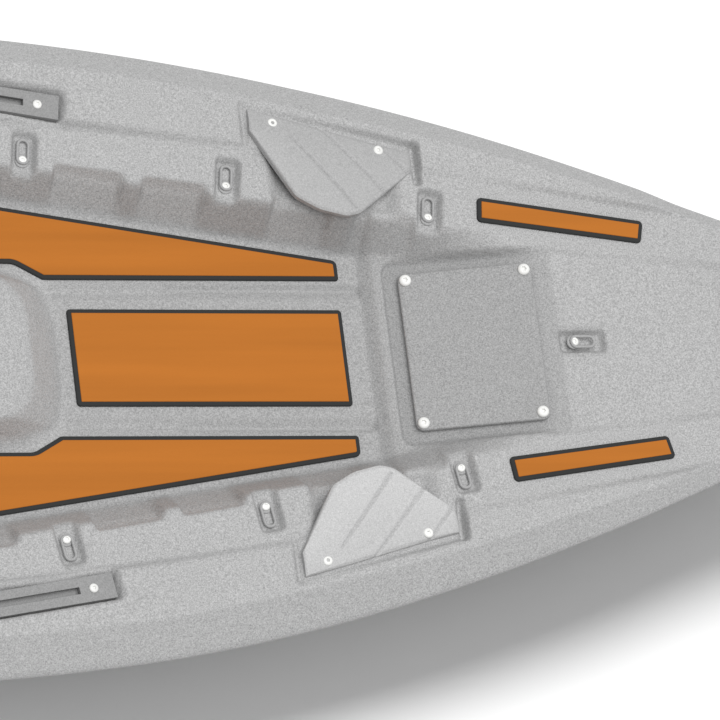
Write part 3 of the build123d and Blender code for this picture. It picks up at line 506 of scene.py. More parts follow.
# ---------------------------------------------------------------- the hull
@dataclass
class HullForm:
    """The hull's lines: curves along the boat, and the deck's height anywhere on it."""

    half_length: float = 1750.0
    half_beam: float = 425.0
    tip_half: float = 16.0
    nose: float = 20.0
    sheer_z: float = 248.0
    floor_z: float = 170.0
    tank_z: float = 188.0
    ledge_low: float = 214.0
    foredeck_z: float = 242.0
    riser_x: float = 960.0
    ramp_low: float = 183.0
    ramp_top_x: float = 1161.0
    gunwale: float = 110.0
    taper: float = 0.153
    ref_x: float = 522.0
    hatch: tuple[float, float] = (1085.5, 220.0)
    eyes: Pairs = ((520, 248), (780, 211), (1041, 166))
    rear_eye_x: Sequence[float] = (-860, -1100, -1330)
    bow_eye_x: float = 1216.0
    pockets: Pairs = ((80, 190), (293, 370), (368, 456), (557, 646), (670, 752), (838, 915), (945, 1022))
    tracks: Sequence[tuple[float, float, float, float]] = ((372.0, 343.0, -0.155, 222.0), (-330.0, 346.0, 0.0, 246.0))
    soften: float = 3.0

    def beam(self, x: Array) -> Array:
        """Half the width: 1 less a power of the distance from amidships, closed by a round nose."""
        fineness = np.where(x > 0, 2.5, 3.2)
        fair = self.half_beam * (1 - (np.abs(x) / self.half_length) ** fineness) + 9.5 * self.dip(x)
        tip = np.clip((np.abs(x) - self.half_length + self.nose) / self.nose, 0.0, 1.0)
        return np.hypot(np.maximum(fair, 0.0), self.tip_half) * np.sqrt(1.0 - tip**2) * 0.999

    @staticmethod
    def dip(x: Array) -> Array:
        """How far along its dip the gunwale is beside the front of the cockpit."""
        return soft_step(0.0, 350.0, x) * (1.0 - soft_step(600.0, 1250.0, x))

    def sheer(self, x: Array) -> Array:
        """Gunwale height: dipped beside the cockpit, rising with the square of the distance at the ends."""
        share = np.clip((np.abs(x) - 1200.0) / 550.0, 0.0, None)
        return self.sheer_z + np.where(x > 0, 42.0, 22.0) * share**2 - 18.0 * self.dip(x)

    def roll(self, x: Array) -> Array:
        """Width of the slanted band at the gunwale's outer edge."""
        return np.minimum(46.0, 0.13 * self.beam(x))

    def keel(self, x: Array) -> Array:
        """Bottom height: flat amidships, then rising with the cube of the distance."""
        share = np.clip((np.abs(x) - 350.0) / 1400.0, 0.0, None)
        return np.where(x > 0, 95.0, 60.0) * share**3

    def taper_line(self, x: Array, width: float) -> Array:
        """A line at a half-width at the reference station, closing towards the bow."""
        return width - self.taper * (np.maximum(x, 150.0) - self.ref_x)

    def crease(self, x: Array) -> Array:
        """Half-width of the gunwale's inner foot."""
        fade = 1 - (np.clip(x - 500.0, 0, 930.0) / 930.0) ** 2
        fineness = np.where(x > 0, 2.25, 3.2)
        lean = self.half_beam * (1 - (np.abs(x) / self.half_length) ** fineness) + 6.0 * self.dip(x)
        return np.minimum(lean - np.maximum(self.gunwale * fade, 6.0), self.beam(x) - 6.0)

    def ledge(self, x: Array) -> Array:
        """Side ledge and foredeck height."""
        fore = np.interp(x, [-1515, -1500, 522, 1105, 1335, 1570, 1750], [0, 0, 0, 28, 28, 52, 76])
        aft = soft_step(-1500, -1530, x) * 60.0
        return np.minimum(self.ledge_low + fore + aft, self.sheer(x))

    def well_lines(self, x: Array) -> tuple[Array, Array, Array]:
        """The wells' floor height, half-width at the floor and half-width at the top."""
        floor = np.interp(
            x,
            [-1432, -1420, -745, -735, -652, -638, self.riser_x, self.riser_x + 15, self.ramp_top_x],
            [400, self.tank_z, self.tank_z, 400, 400, self.floor_z, self.floor_z, self.ramp_low, self.foredeck_z],
        )
        tank = self.beam(x) - 170.0
        well = self.taper_line(x, 202.0)
        lip = self.taper_line(x, 235.0) + 10.0 * self.scoop(x)
        behind = x < -695
        return floor, np.where(behind, tank, well), np.where(behind, tank + 22.0, lip)

    def scoop(self, x: Array) -> Array:
        """Where the well's wall is scooped back under the ledge."""
        return sum(box_mask(x, a + 4, b - 4, 6.0) for a, b in self.pockets)

    def hump(self, x: Array, s: Array) -> Array:
        """The console: a level top with rounded corners, a long slope at its front and steep sides."""
        top = rounded_box(x - 297.0, s + 1.2 * np.maximum(s - 92.0, 0.0), 198.0, 92.0, 58.0)
        return 215.0 - np.interp(top, [0.0, 6.0, 58.0], [0.0, 2.0, 48.0])

    def raw_deck(self, x: Array, y: Array) -> Array:
        """The deck's height before its edges are softened.

        The gunwale, ledge and wells are steps and slopes across the boat. The console is laid on
        the floor, and the recesses are cut to their depths inside their outlines.

        Args:
            x: Stations.
            y: Distances from the middle line, signed.

        Returns:
            The height at each place.
        """
        s = np.abs(y)
        crease, ledge, sheer = self.crease(x), self.ledge(x), self.sheer(x)
        floor, foot, lip = self.well_lines(x)
        wall = np.clip((s - crease) / 8.0, 0.0, 1.0)
        z = ledge + (sheer - ledge) * wall
        share = np.clip((s - foot) / np.maximum(lip - foot, 1.0), 0.0, 1.0)
        inside = np.minimum(floor, ledge) + (ledge - np.minimum(floor, ledge)) * share
        inside = inside - 7.0 * np.where((x > 60) & (x < 1040), self.scoop(x), 0.0) * share * (floor < 175)
        z = np.where(s < lip, np.minimum(z, inside), z)
        z = self.cut_channels(x, s, z)
        z = np.where(x < 700.0, np.maximum(z, self.hump(x, s)), z)
        return self.cut_recesses(x, y, s, z)

    def cut_channels(self, x: Array, s: Array, z: Array) -> Array:
        """The drain channel round the middle platform, steep at its outer edge and easing inwards."""
        away = rounded_box(x - 986.0, s, 454.0, 95.0, 16.0)
        depth = np.clip(1.0 + away / 17.0, 0.0, 1.0) * (away < 0) * (x < self.riser_x)
        return np.where(z < self.floor_z + 1.0, z - 7.5 * depth, z)

    def cut_recesses(self, x: Array, y: Array, s: Array, z: Array) -> Array:
        """Pockets for the eyes, tracks, gussets and the bolted hatch."""
        lean = math.atan(self.taper)
        for ex, ey in self.eyes:
            along = (s - ey) * math.cos(lean) + (x - ex) * math.sin(lean)
            across = (x - ex) * math.cos(lean) - (s - ey) * math.sin(lean)
            cut = rounded_box(along - 8.0, across, 26.0, 14.5, 5.0) < 0
            z = np.where(cut, np.minimum(z, self.ledge(np.array(float(ex))) - 11.0), z)
        for ex in self.rear_eye_x:
            ey = float(self.beam(np.array(float(ex)))) - 142.0
            cut = rounded_box(s - ey - 8.0, x - ex, 25.0, 14.0, 5.0) < 0
            z = np.where(cut, np.minimum(z, self.ledge_low - 11.0), z)
        bow = rounded_box(x - self.bow_eye_x - 11.0, y, 29.0, 13.5, 3.0) < 0
        z = np.where(bow, np.minimum(z, self.foredeck_z - 11.0), z)
        for tx, ty, slope, top in self.tracks:
            turn = math.atan(slope)
            along = (x - tx) * math.cos(turn) + (s - ty) * math.sin(turn)
            across = (s - ty) * math.cos(turn) - (x - tx) * math.sin(turn)
            cut = rounded_box(along, across, 204.0, 18.5, 4.0) < 0
            z = np.where(cut, top - 12.5, z)
        return self.cut_hatch(x, s, self.cut_gusset(x, s, z))

    def cut_gusset(self, x: Array, s: Array, z: Array) -> Array:
        """The flat that each gusset lies on, and the storage pocket under it."""
        outer = np.minimum(np.interp(x, [806, 1032], [316, 262]), self.beam(x) - self.roll(x) - 2.0)
        flat = (x > 806) & (x < 1032) & (s > self.crease(x) + 2) & (s < outer)
        z = np.where(flat, np.minimum(z, 232.0), z)
        groove = (np.abs(x - 808) < 3.0) | (np.abs(x - 1031) < 4.5)
        groove = groove & (s > self.crease(x) - 14) & (s < outer + 1)
        z = np.where(groove, np.minimum(z, 228.0), z)
        under = box_mask(x, 856, 985, 26.0) * box_mask(s, self.taper_line(x, 250.0), self.crease(x) - 8, 14.0)
        return z - 13.0 * under * (z > self.ledge(x) - 22) * (s < self.crease(x) + 1)

    def cut_hatch(self, x: Array, s: Array, z: Array) -> Array:
        """The sunken frame on the ramp, deeper in the gutter round the plate."""
        rise = (self.foredeck_z - self.ramp_low) / (self.ramp_top_x - self.riser_x)
        plane = self.hatch[1] + (x - self.hatch[0]) * rise
        outline = self.hatch_outline(x, s)
        inner = soft_step(5.0, -5.0, s - 118.0 + 0.098 * (x - 1225.0)) * soft_step(1150.0, 1170.0, x)
        z = z - inner * (4.0 * soft_step(1640.0, 1500.0, x) + 2.0 * (x < 1224))
        return np.where(outline < 0, np.minimum(z, plane - 11.5), z)

    @staticmethod
    def hatch_outline(x: Array, s: Array) -> Array:
        """How far outside the hatch's sunken frame a place is."""
        return rounded_box(x - 1093.0, s, 105.0, 121.5, 14.0)

    def deck(self, x: Array, y: Array) -> Array:
        """The deck's height with every edge rounded: the mean of the raw height over a small disc."""
        total = np.zeros(np.broadcast(x, y).shape)
        rings = [(0.0, 1), (0.55, 6), (1.0, 10)]
        count = 0
        for share, spots in rings:
            for k in range(spots):
                turn = 2 * math.pi * (k + 0.5 * share) / spots
                dx, dy = (self.soften * share * f(turn) for f in (math.cos, math.sin))
                total += self.raw_deck(x + dx, y + dy)
                count += 1
        return total / count


@dataclass
class Hull:
    """The one-piece moulded hull, laid as a closed grid of stations by girth columns."""

    form: HullForm = field(default_factory=HullForm)
    station_count: int = 470
    girth_counts: Sequence[int] = (7, 5, 9, 9, 12, 17, 5, 17)
    band: Pairs = ((0.03, 0.005), (0.07, 0.025), (0.12, 0.065), (0.18, 0.12), (0.5, 0.42), (0.8, 0.70),
                   (0.9, 0.80), (0.96, 0.88), (0.99, 0.96), (1.0, 1.05))
    below_count: int = 19

    def stations(self) -> Array:
        """Stations spaced closely where the deck has its recesses, and widely elsewhere."""
        half = self.form.half_length
        x = np.linspace(-half, half, 7001)
        density = 1 / 24.0 + box_mask(x, 440, 1290, 60) / 4.6 + box_mask(x, 1300, 1480, 30) / 14.0
        for centre in (520, 780, 1044):
            density += box_mask(x, centre - 19, centre + 19, 5) / 4.5
        for centre, reach in ((556, 10), (806, 6), (1032, 6), (966, 12), (990, 8), (1198, 12), (1256, 10)):
            density += box_mask(x, centre - reach, centre + reach, 5) / 4.0
        for centre, reach in ((-645, 12), (-740, 12), (-1425, 12), (-1512, 14), (-860, 20), (-1100, 20), (-1330, 20)):
            density += box_mask(x, centre - reach, centre + reach, 6) / 7.0
        density += (1 - box_mask(x, -half + 40, half - 40, 20)) / 4.0
        total = np.concatenate([[0.0], np.cumsum(0.5 * (density[1:] + density[:-1]) * np.diff(x))])
        return np.interp(np.linspace(0.0, total[-1], self.station_count), total, x)

    def deck_lines(self, x: Array) -> list[Array]:
        """The lines that the deck's columns follow, from the middle line out to the roll."""
        form = self.form
        beam = form.beam(x)
        crease = form.crease(x)
        _, foot, lip = form.well_lines(x)
        tapered = form.taper_line(x, 240.0)
        lip = np.where(x > 150, tapered, lip)
        foot = np.where(x > 150, form.taper_line(x, 200.0), foot)
        raw = [0 * x, 0 * x + 16.0, 0 * x + 72.0, 0 * x + 96.0, foot - 3.0, lip + 5.0, crease - 3.0, crease + 12.0, beam - form.roll(x)]
        shares = (0.0, 0.07, 0.22, 0.33, 0.44, 0.58, 0.68, 0.75, 0.9)
        lines = [raw[0]]
        for line, share in zip(raw[1:], shares[1:]):
            lines.append(np.maximum(np.minimum(line, share * beam), lines[-1] + 0.01 * beam))
        lines[-1] = np.maximum(beam - form.roll(x), lines[-2] + 0.01 * beam)
        return lines

    def half_girth(self, x: Array) -> tuple[Array, Array]:
        """Half-widths and heights of the port half-section, from the deck's middle to the keel.

        Across the deck the height is the form's own. The band at the gunwale's edge eases over,
        slants down and eases into the side, which drops straight and turns under at the chine.

        Args:
            x: Stations.

        Returns:
            Half-widths and heights, stations by columns.
        """
        form = self.form
        lines = self.deck_lines(x)
        across = [lines[0][:, None]]
        for low, high, count in zip(lines[:-1], lines[1:], self.girth_counts):
            share = np.arange(1, count + 1) / count
            across.append(low[:, None] + (high - low)[:, None] * share[None, :])
        s = np.concatenate(across, 1)
        z = form.deck(x[:, None], s)
        beam, keel = form.beam(x)[:, None], form.keel(x)[:, None]
        out, drop = np.array(self.band).T
        deep = 0.85 * form.roll(x)[:, None]
        roll_s = s[:, -1:] + (beam - s[:, -1:]) * out[None, :]
        roll_z = z[:, -1:] - deep * drop[None, :]
        down = (np.arange(1, self.below_count + 1) / self.below_count)[None, :]
        low_s, low_z = self.under_body(down, beam, roll_z[:, -1:], keel)
        return np.concatenate([s, roll_s, low_s], 1), np.concatenate([z, roll_z, low_z], 1)

    @staticmethod
    def under_body(down: Array, beam: Array, top: Array, keel: Array) -> tuple[Array, Array]:
        """The side and bottom: leaning in down to the chine, then a half superellipse to the keel flat."""
        bend = np.clip((down - 0.35) / 0.65, 0.0, 1.0) * math.pi / 2
        side = np.clip(down / 0.35, 0.0, 1.0)
        chine = keel + np.minimum(88.0, 0.5 * (top - keel))
        width = np.cos(bend) ** 0.62
        height = chine - (chine - keel) * np.sin(bend) ** 0.9
        z = np.where(down < 0.35, top + (chine - top) * side, height)
        return beam * np.where(down < 0.35, 1.0 - 0.115 * side, 0.885 * width), z

    def tone(self, grid: Array) -> Array:
        """Painted shade: the grain is darkened on steep walls, in the deep wells and in the hatch's gutter, where shade
        falls; the console's top and slopes are mostly spared.
        """
        dx = np.gradient(grid, axis=0)
        dy = np.gradient(grid, axis=1)
        normal = np.cross(dx, dy)
        upright = np.abs(normal[..., 2]) / np.maximum(np.linalg.norm(normal, axis=2), 1e-9)
        inside = np.clip((self.form.taper_line(grid[..., 0], 238.0) - np.abs(grid[..., 1])) / 8.0, 0.0, 1.0)
        deep = soft_step(241.0, 222.0, grid[..., 2]) * inside * soft_step(1215.0, 1185.0, grid[..., 0])
        console = soft_step(556.0, 540.0, grid[..., 0]) * soft_step(120.0, 112.0, np.abs(grid[..., 1]))
        gutter = soft_step(2.0, -4.0, self.form.hatch_outline(grid[..., 0], np.abs(grid[..., 1])))
        return 1.0 - 0.12 * (1 - upright) * (1 - console) - 0.12 * deep * (1 - 0.8 * console) - 0.13 * gutter

    def build(self, finishes: Finishes) -> bpy.types.Object:
        """Lay the hull and dress it."""
        x = self.stations()
        s, z = self.half_girth(x)
        port = np.stack([x[:, None] + 0 * s, s, z], 2)
        starboard = port[:, -2:0:-1] * np.array([1.0, -1.0, 1.0])
        ring = np.concatenate([port, starboard], 1)
        # Painted shade: one darkening factor per vertex, stored on the mesh as an attribute for the hull's material.
        tone = self.tone(ring)
        mesh = bpy.data.meshes.new("moulded_hull")
        mesh.from_pydata(ring.reshape(-1, 3) * MM, [], grid_faces(len(x), ring.shape[1], True))
        layer = mesh.attributes.new("tone", "FLOAT", "POINT")
        layer.data.foreach_set("value", tone.astype(np.float32).ravel())
        work = bmesh.new()
        work.from_mesh(mesh)
        bmesh.ops.remove_doubles(work, verts=work.verts, dist=2e-4)
        bmesh.ops.recalc_face_normals(work, faces=work.faces)
        work.to_mesh(mesh)
        work.free()
        mesh.shade_smooth()
        piece = bpy.data.objects.new("moulded_hull", mesh)
        bpy.context.scene.collection.objects.link(piece)
        fit_out(piece, "hull", "hull", finishes.hull, "deck_moulding", "bottom_moulding")
        LOG.info("hull: %d stations by %d columns, %d faces", len(x), ring.shape[1], len(mesh.polygons))
        return piece


# ---------------------------------------------------------------- deck pads
@dataclass
class DeckPads:
    """Two-layer foam pads: a dark base that shows as a bevelled border round the orange top."""

    floor_z: float = 170.0
    foredeck_z: float = 242.0
    border: float = 5.6
    base_h: float = 3.6
    center: Pairs = ((567, -64), (932, -64), (932, 64), (567, 64))
    floor: Pairs = ((934, 103), (934, 130), (200, 245), (60, 245), (60, 124), (504, 124), (541, 103))
    floor_radii: Sequence[float] = (4, 8, 30, 12, 10, 24, 6)
    bow: Pairs = ((1102, 157), (1322, 129), (1329, 159), (1106, 190))

    def lay_pad(self, name: str, corners: Pairs, radii: float | Sequence[float], z: float, finishes: Finishes) -> None:
        """Lay one pad's base and top.

        Args:
            name: The pad's node name without its layer.
            corners: Its outline, counter-clockwise.
            radii: Corner radii.
            z: The deck's height under it.
            finishes: The boat's finishes.
        """
        split = z + self.base_h
        base_edge = ((0.6, z), (0.1, z + 0.5), (0.0, z + 1.4), (0.3, z + 2.6), (0.9, z + 3.3), (1.8, split))
        top_edge = ((0.0, split - 0.3), (0.0, split + 0.5), (0.3, split + 0.9), (0.8, split + 1.1), (1.6, split + 1.2))
        for layer, edge, extra, slot, material in (
            ("base", base_edge, 0.0, "foam_dark", finishes.border),
            ("top", top_edge, self.border, "foam_orange", finishes.orange),
        ):
            heap = Heap()
            heap.add(slab(corners, radii, [(inset + extra, height) for inset, height in edge]))
            piece = heap.lay(f"{name}_foam_{layer}", 60.0)
            fit_out(piece, "hull", slot, material, f"{name}_{layer}")

    def build(self, finishes: Finishes) -> None:
        """Lay all the pads."""
        self.lay_pad("center_pad", self.center, 5.0, self.floor_z, finishes)
        for side in Side:
            radii = self.floor_radii if side is Side.PORT else tuple(reversed(self.floor_radii))
            self.lay_pad(f"{side.label}_floor_pad", mirrored(self.floor, side), radii, self.floor_z, finishes)
            self.lay_pad(f"{side.label}_bow_pad", mirrored(self.bow, side), 6.0, self.foredeck_z, finishes)


# ---------------------------------------------------------------- screws
@dataclass
class ScrewHead:
    """A low domed head with a lobed driving recess."""

    radius: float = 6.3
    height: float = 2.8
    recess: float = 2.3

    def grid(self) -> Array:
        """The head's outside, from under its rim over the dome and down into the recess."""
        r, h, c = self.radius, self.height, self.recess
        outer = turned(((0.01, 0.0), (r * 0.97, 0.0), (r, 0.35), (r, h * 0.3), (r * 0.94, h * 0.62),
                        (r * 0.8, h * 0.86), (r * 0.6, h * 0.98), (c * 1.25, h)))
        lobed = turned(((c, h * 0.97), (c * 0.92, h * 0.45), (0.01, h * 0.4)), lobes=lambda a: 1 + 0.14 * np.cos(6 * a))
        return np.concatenate([outer, lobed])


def set_screws(name: str, spots: Sequence[Matrix], head: ScrewHead, finish: bpy.types.Material,
               slot: str, node: str) -> None:
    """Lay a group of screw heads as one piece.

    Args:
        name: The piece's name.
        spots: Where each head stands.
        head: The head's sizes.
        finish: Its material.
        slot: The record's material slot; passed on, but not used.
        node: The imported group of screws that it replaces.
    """
    heap = Heap()
    for seat in spots:
        heap.add(place(head.grid(), seat))
    fit_out(heap.lay(name, 50.0), "hull", slot, finish, node)


# ---------------------------------------------------------------- gussets
@dataclass
class Gussets:
    """Crowned corner plates with raked grooves, each held by two screws."""

    z: float = 236.6
    thick: float = 4.5
    outer: Pairs = ((815, 309), (868, 295), (922, 280), (987, 262), (1026, 253))
    inner: Pairs = ((813, 278), (864, 191), (894, 174), (930, 165), (948, 169), (1022, 224))
    grooves: Sequence[tuple[tuple[float, float], tuple[float, float]]] = (
        ((866, 272), (943, 176)), ((903, 292), (984, 196)), ((975, 275), (1018, 222)),
    )
    screws: Pairs = ((845, 289), (983, 254))
    rows: int = 90
    columns: int = 110

    def chain(self, corners: Pairs, t: Array) -> Array:
        """Points along a run of corners by share of its length, its corners slightly eased."""
        c = np.asarray(corners, float)
        length = np.concatenate([[0.0], np.cumsum(np.linalg.norm(np.diff(c, axis=0), axis=1))])
        length /= length[-1]
        total = np.zeros((len(t), 2))
        eases = (-0.02, -0.01, 0.0, 0.01, 0.02)
        for ease in eases:
            u = np.clip(t + ease * np.sin(math.pi * t) ** 0.5, 0.0, 1.0)
            total += np.stack([np.interp(u, length, c[:, 0]), np.interp(u, length, c[:, 1])], 1)
        return total / len(eases)

    def height(self, x: Array, y: Array, v: Array, u: Array) -> Array:
        """The plate's top: it swells and climbs towards the inner edge, and its rim is rounded.

        Args:
            x: Stations.
            y: Half-widths.
            v: Share of the way from the outer edge to the inner one.
            u: Share of the way along.

        Returns:
            Heights.
        """
        crown = 4.0 * v + 5.0 * np.sin(math.pi * v) * np.sin(math.pi * (0.1 + 0.8 * u))
        rim = np.minimum(np.minimum(v, 1 - v) * 70.0, np.minimum(u, 1 - u) * 150.0)
        ease = -1.8 * (1 - np.clip(rim / 3.5, 0, 1)) ** 2
        cut = np.zeros_like(x)
        for start, end in self.grooves:
            cut = np.minimum(cut, -2.0 * (1 - np.clip(segment_distance(x, y, start, end) / 2.0, 0, 1) ** 2))
        return self.z + crown + ease + cut

    def build(self, finishes: Finishes) -> None:
        """Lay both plates and their screws."""
        t = np.linspace(0, 1, self.columns)
        bend = 0.5 - 0.5 * np.cos(np.linspace(0, math.pi, self.rows))
        v = (0.6 * bend + 0.4 * np.linspace(0, 1, self.rows))[:, None]
        a, b = self.chain(self.outer, t)[None], self.chain(self.inner, t)[None]
        flat = a * (1 - v[..., None]) + b * v[..., None]
        top = np.dstack([flat, self.height(flat[..., 0], flat[..., 1], v + 0 * flat[..., 0], t[None] + 0 * flat[..., 0])])
        under = top.copy()
        under[..., 2] = self.z - self.thick + 0 * top[..., 2]
        for side in Side:
            heap = Heap()
            flip = np.array([1.0, side.value, 1.0])
            heap.add(top * flip, wrap=False, capped=False)
            heap.add(under * flip, wrap=False, capped=False)
            for edge in (np.s_[0], np.s_[-1], np.s_[:, 0], np.s_[:, -1]):
                heap.add(np.stack([top[edge], under[edge]]) * flip, wrap=False, capped=False)
            fit_out(heap.lay(f"{side.label}_gusset_plate"), "hull", "grey_plastic", finishes.plate, f"{side.label}_gusset")
        spots = [spot(x, y * side.value, self.z + 0.8) for x, y in self.screws for side in Side]
        set_screws("gusset_heads", spots, ScrewHead(6.4, 3.0), finishes.screw, "screw", "gusset_screws")


# ---------------------------------------------------------------- the bolted hatch
@dataclass
class BoltedHatch:
    """A square plate with eased edges, laid on the ramp and held by a bolt at each corner."""

    x: float = 1085.5
    z: float = 220.0
    pitch: float = 16.36
    long: float = 170.0
    wide: float = 209.0
    bolts: tuple[float, float] = (75.5, 95.0)
    top: float = -3.0
    thick: float = 7.6

    def build(self, finishes: Finishes) -> None:
        """Lay the plate, its gasket and its bolts."""
        seat = spot(self.x, 0.0, self.z, pitch=self.pitch)
        a, b = self.long / 2, self.wide / 2
        corners = ((-a, -b), (a, -b), (a, b), (-a, b))
        low = self.top - self.thick
        edge = ((0.4, low), (0.0, low + 1.0), (0.0, self.top - 2.2), (0.5, self.top - 1.1), (1.3, self.top - 0.4),
                (2.4, self.top - 0.1), (4.0, self.top), (20.0, self.top), (60.0, self.top), (84.0, self.top))
        heap = Heap()
        heap.add(place(slab(corners, 10.0, edge), seat))
        fit_out(heap.lay("hatch_cover", 60.0), "hull", "grey_plastic", finishes.hatch, "hatch_plate")
        spots = [seat @ spot(sx * self.bolts[0], sy * self.bolts[1], self.top) for sx in (-1, 1) for sy in (-1, 1)]
        set_screws("hatch_bolt_heads", spots, ScrewHead(7.6, 4.2, 2.9), finishes.screw, "screw", "hatch_bolts")
        seal = np.array([[-a + 6, -b + 6], [a - 6, -b + 6], [a - 6, b - 6], [-a + 6, b - 6]])
        heap = Heap()
        heap.add(place(slab(seal, 6.0, ((0.0, low - 1.6), (0.0, low + 0.4))), seat))
        fit_out(heap.lay("hatch_seal", 30.0), "hull", "gasket", finishes.gasket, "hatch_gasket")


# ---------------------------------------------------------------- tie-down eyes
@dataclass
class TieDowns:
    """Oval eyelets in the deck's pockets, each with a screw at its inner end."""

    form: HullForm
    sink: float = 11.0
    length: float = 40.0
    width: float = 18.0

    def places(self) -> list[Matrix]:
        """Where each eyelet's screw goes, its loop pointing along the place's own X."""
        lean = math.degrees(math.atan(self.form.taper))
        spots = []
        for side in Side:
            for x, y in self.form.eyes:
                z = float(self.form.ledge(np.array(float(x)))) - self.sink
                spots.append(spot(x, y * side.value, z, (90 - lean) * side.value))
            for x in self.form.rear_eye_x:
                y = float(self.form.beam(np.array(float(x)))) - 142.0
                spots.append(spot(x, y * side.value, self.form.ledge_low - self.sink, 90 * side.value))
        return spots + [spot(self.form.bow_eye_x, 0, self.form.foredeck_z - self.sink)]

    def eyelet(self) -> list[Array]:
        """An eyelet's skins: a round foot under the screw, and a loop of round bar beyond it."""
        reach, half = self.length / 2, self.width / 2
        foot = ((-9.0, -half), (9.0, -half), (9.0, half), (-9.0, half))
        base = slab(foot, half - 0.3, ((0.5, 0.0), (0.0, 0.6), (0.0, 1.6), (0.7, 2.2), (1.6, 2.4)))
        eye = ((-6.0, -half), (reach + 9.0, -half), (reach + 9.0, half), (-6.0, half))
        turn = np.arange(12) * (math.pi / 6)
        ring = [(2.0 - 2.0 * math.cos(a), 3.6 + 2.0 * math.sin(a)) for a in turn]
        loop = slab(eye, half - 0.3, [*ring, ring[0]])
        return [base, loop]

    def build(self, finishes: Finishes) -> None:
        """Lay the eyelets and their screws."""
        heap = Heap()
        for seat in self.places():
            skins = self.eyelet()
            for skin in skins:
                heap.add(place(skin, seat), capped=skin is not skins[1])
        fit_out(heap.lay("eyelets"), "hull", "grey_plastic", finishes.eye, "tie_down_eyes")
        spots = [seat @ spot(0, 0, 2.6) for seat in self.places()]
        set_screws("eyelet_screw_heads", spots, ScrewHead(5.9, 2.8), finishes.screw, "screw", "tie_down_screws")


# ---------------------------------------------------------------- gear tracks
@dataclass
class GearTracks:
    """Long slotted tracks in the gunwales, with a screw at each end."""

    form: HullForm
    length: float = 400.0
    screw_in: float = 28.0

    def build(self, finishes: Finishes) -> None:
        """Dress the tracks and set their screws."""
        spots = []
        for name, (x, y, slope, top) in zip(("front", "rear"), self.form.tracks):
            for side in Side:
                dress(bpy.data.objects[f"{side.label}_{name}_track"], finishes.track)
                turn = math.degrees(math.atan(slope)) * side.value
                for end in (-1, 1):
                    seat = spot(x, y * side.value, top, turn)
                    spots.append(seat @ spot(end * (self.length / 2 - self.screw_in), 0, 0))
        set_screws("track_screw_heads", spots, ScrewHead(5.9, 2.8), finishes.screw, "screw", "track_screws")


# ---------------------------------------------------------------- the seat
@dataclass
class Seat:
    """A folding seat: tube frames with slung fabric that dips between them."""

    front: float = -60.0
    aft: float = -500.0
    half: float = 215.0
    z: float = 300.0
    hinge: tuple[float, float] = (-430.0, 318.0)
    lean: float = 14.0
    back_low: float = 85.0
    back_high: float = 415.0
    back_half: float = 220.0

    def sling(self, name: str, span: Array, body: str, node: str, material: bpy.types.Material,
              flat: tuple[float, float]) -> None:
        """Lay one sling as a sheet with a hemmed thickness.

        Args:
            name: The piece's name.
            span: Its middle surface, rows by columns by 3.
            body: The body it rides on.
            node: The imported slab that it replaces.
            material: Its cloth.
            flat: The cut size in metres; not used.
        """
        piece = lay_mesh(name, span, grid_faces(span.shape[0], span.shape[1], False))
        solid = piece.modifiers.new("cloth", "SOLIDIFY")
        solid.thickness = 0.003
        solid.offset = 0.0
        fit_out(piece, body, "mesh", material, node)

    def build(self, finishes: Finishes) -> None:
        """Lay the slings and dress the frames."""
        u, v = np.meshgrid(np.linspace(0, 1, 60), np.linspace(-1, 1, 60), indexing="ij")
        fullness = (1 - v**4) * np.sin(math.pi * u) ** 0.7
        seat = np.stack([self.aft + 16 + (self.front - self.aft - 32) * u, v * (self.half - 14), self.z - 16 * fullness], 2)
        self.sling("seat_cloth", seat, "hull", "seat_base_sling", finishes.sling, (0.403, 0.408))
        tilt = math.radians(self.lean)
        up = self.back_low + (self.back_high - self.back_low) * u
        out = 12 * fullness
        back_x = self.hinge[0] - up * math.sin(tilt) - out * math.cos(tilt)
        back_z = self.hinge[1] + up * math.cos(tilt) - out * math.sin(tilt)
        back = np.stack([back_x, v * self.back_half, back_z], 2)
        self.sling("back_cloth", back, "seat_back", "seat_back_sling", finishes.sling, (0.441, 0.332))
        for name in ("seat_base_frame", "seat_back_frame"):
            dress(bpy.data.objects[name], finishes.tube)
        dress(bpy.data.objects["seat_feet"], finishes.black)
        dress(bpy.data.objects["seat_hinge_pins"], finishes.steel)


# ---------------------------------------------------------------- other fittings
class Fittings:
    """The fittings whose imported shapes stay, each given its finish."""

    BLACK = (
        "console_hatch_ring", "console_hatch_lid", "storage_cup", "port_rod_holder", "starboard_rod_holder",
        "port_foot_pedal", "starboard_foot_pedal", "bow_handle", "bow_handle_lugs", "stern_handle",
        "stern_handle_lugs", "port_side_handle", "port_side_handle_lugs", "starboard_side_handle",
        "starboard_side_handle_lugs", "drain_plug",
    )
    STEEL = ("console_hatch_screws", "console_hatch_pin", "rod_holder_screws", "foot_rail_screws")
    TUBE = ("port_foot_rail", "starboard_foot_rail")

    def build(self, finishes: Finishes) -> None:
        """Dress each carried-over node."""
        for names, material in ((self.BLACK, finishes.black), (self.STEEL, finishes.steel), (self.TUBE, finishes.tube)):
            for name in names:
                dress(bpy.data.objects[name], material)
        dress(bpy.data.objects["console_hatch_seal"], finishes.gasket)


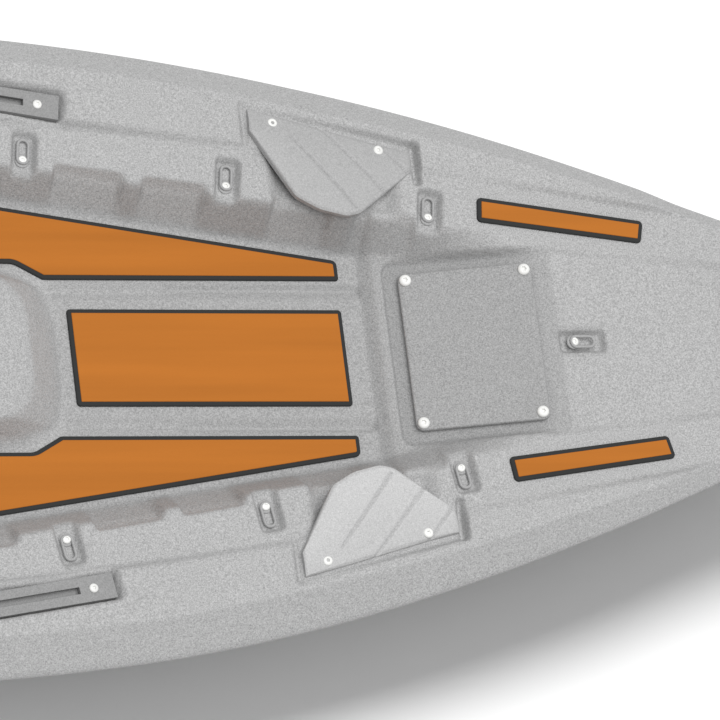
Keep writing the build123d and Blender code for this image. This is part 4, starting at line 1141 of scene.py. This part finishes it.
# ---------------------------------------------------------------- the studio
@dataclass
class Studio:
    """A pale floor, soft light and the camera."""

    lens: float = 400.0
    sensor: float = 36.0
    eye: tuple[float, float, float] = (-2.6796, -3.1862, 8.9676)
    right: tuple[float, float, float] = (0.9323, -0.1219, 0.3405)
    up: tuple[float, float, float] = (-0.0017, 0.9401, 0.3411)
    back: tuple[float, float, float] = (-0.3617, -0.3186, 0.8762)
    shift: float = -0.0149
    sky: float = 0.52
    overhead: float = 0.70
    slanting: float = 0.95
    glancing: float = 0.35

    def build(self) -> None:
        """Set up the floor, the lights and the camera."""
        scene = bpy.context.scene
        scene.view_settings.view_transform = "Standard"
        scene.view_settings.look = "None"
        world = bpy.data.worlds.new("studio_air")
        scene.world = world
        world.use_nodes = True
        world.node_tree.nodes["Background"].inputs["Color"].default_value = (1, 1, 1, 1)
        world.node_tree.nodes["Background"].inputs["Strength"].default_value = self.sky
        floor = lay_mesh("studio_floor", np.array([[-1, -1, 0], [1, -1, 0], [1, 1, 0], [-1, 1, 0]]) * 30000.0, [[0, 1, 2, 3]])
        nodes = Nodes("studio_paper")
        nodes.shader.inputs["Base Color"].default_value = (0.86, 0.86, 0.86, 1)
        nodes.shader.inputs["Roughness"].default_value = 0.95
        dress(floor, nodes.material)
        boat = [piece for piece in bpy.data.objects if piece.type == "MESH" and piece is not floor]
        self.lamp("overhead", self.overhead, 55.0, 0.0, boat)
        self.lamp("slanting", self.slanting, 24.0, -26.0, [floor])
        self.lamp("glancing", self.glancing, 16.0, -41.0, [bpy.data.objects["starboard_gusset_plate"]], -33.0)
        camera = bpy.data.cameras.new("camera")
        camera.lens = self.lens
        camera.sensor_width = self.sensor
        camera.shift_y = self.shift
        camera.clip_end = 200.0
        view = bpy.data.objects.new("camera", camera)
        axes = Matrix((self.right, self.up, self.back)).transposed().to_4x4()
        view.matrix_world = Matrix.Translation(self.eye) @ axes
        scene.collection.objects.link(view)
        scene.camera = view


    @staticmethod
    def lamp(name: str, power: float, softness: float, tilt: float, lit: Sequence[bpy.types.Object],
             turn: float = 0.0) -> None:
        """Hang a distant lamp that lights some of the pieces only.

        Args:
            name: The lamp's name.
            power: The light that it lays on a level surface, where the air alone would lay its own strength.
            softness: Its width in degrees.
            tilt: Its lean from straight overhead about X, in degrees.
            lit: The pieces that it lights.
            turn: The lean's heading about Z, in degrees.
        """
        data = bpy.data.lights.new(name, "SUN")
        data.energy = power * math.pi
        data.angle = math.radians(softness)
        lamp = bpy.data.objects.new(name, data)
        lamp.matrix_world = Matrix.Rotation(math.radians(turn), 4, "Z") @ Matrix.Rotation(math.radians(tilt), 4, "X")
        bpy.context.scene.collection.objects.link(lamp)
        group = bpy.data.collections.new(f"{name}_lights")
        for piece in lit:
            group.objects.link(piece)
        lamp.light_linking.receiver_collection = group


def main() -> None:
    """Build the boat and the studio round it."""
    logging.basicConfig(level=logging.INFO, format="%(name)s %(message)s")
    finishes = Finishes()
    hull = Hull()
    hull.build(finishes)
    DeckPads().build(finishes)
    Gussets().build(finishes)
    BoltedHatch().build(finishes)
    TieDowns(hull.form).build(finishes)
    GearTracks(hull.form).build(finishes)
    Seat().build(finishes)
    Fittings().build(finishes)
    Studio().build()


if __name__ == "__main__":
    main()
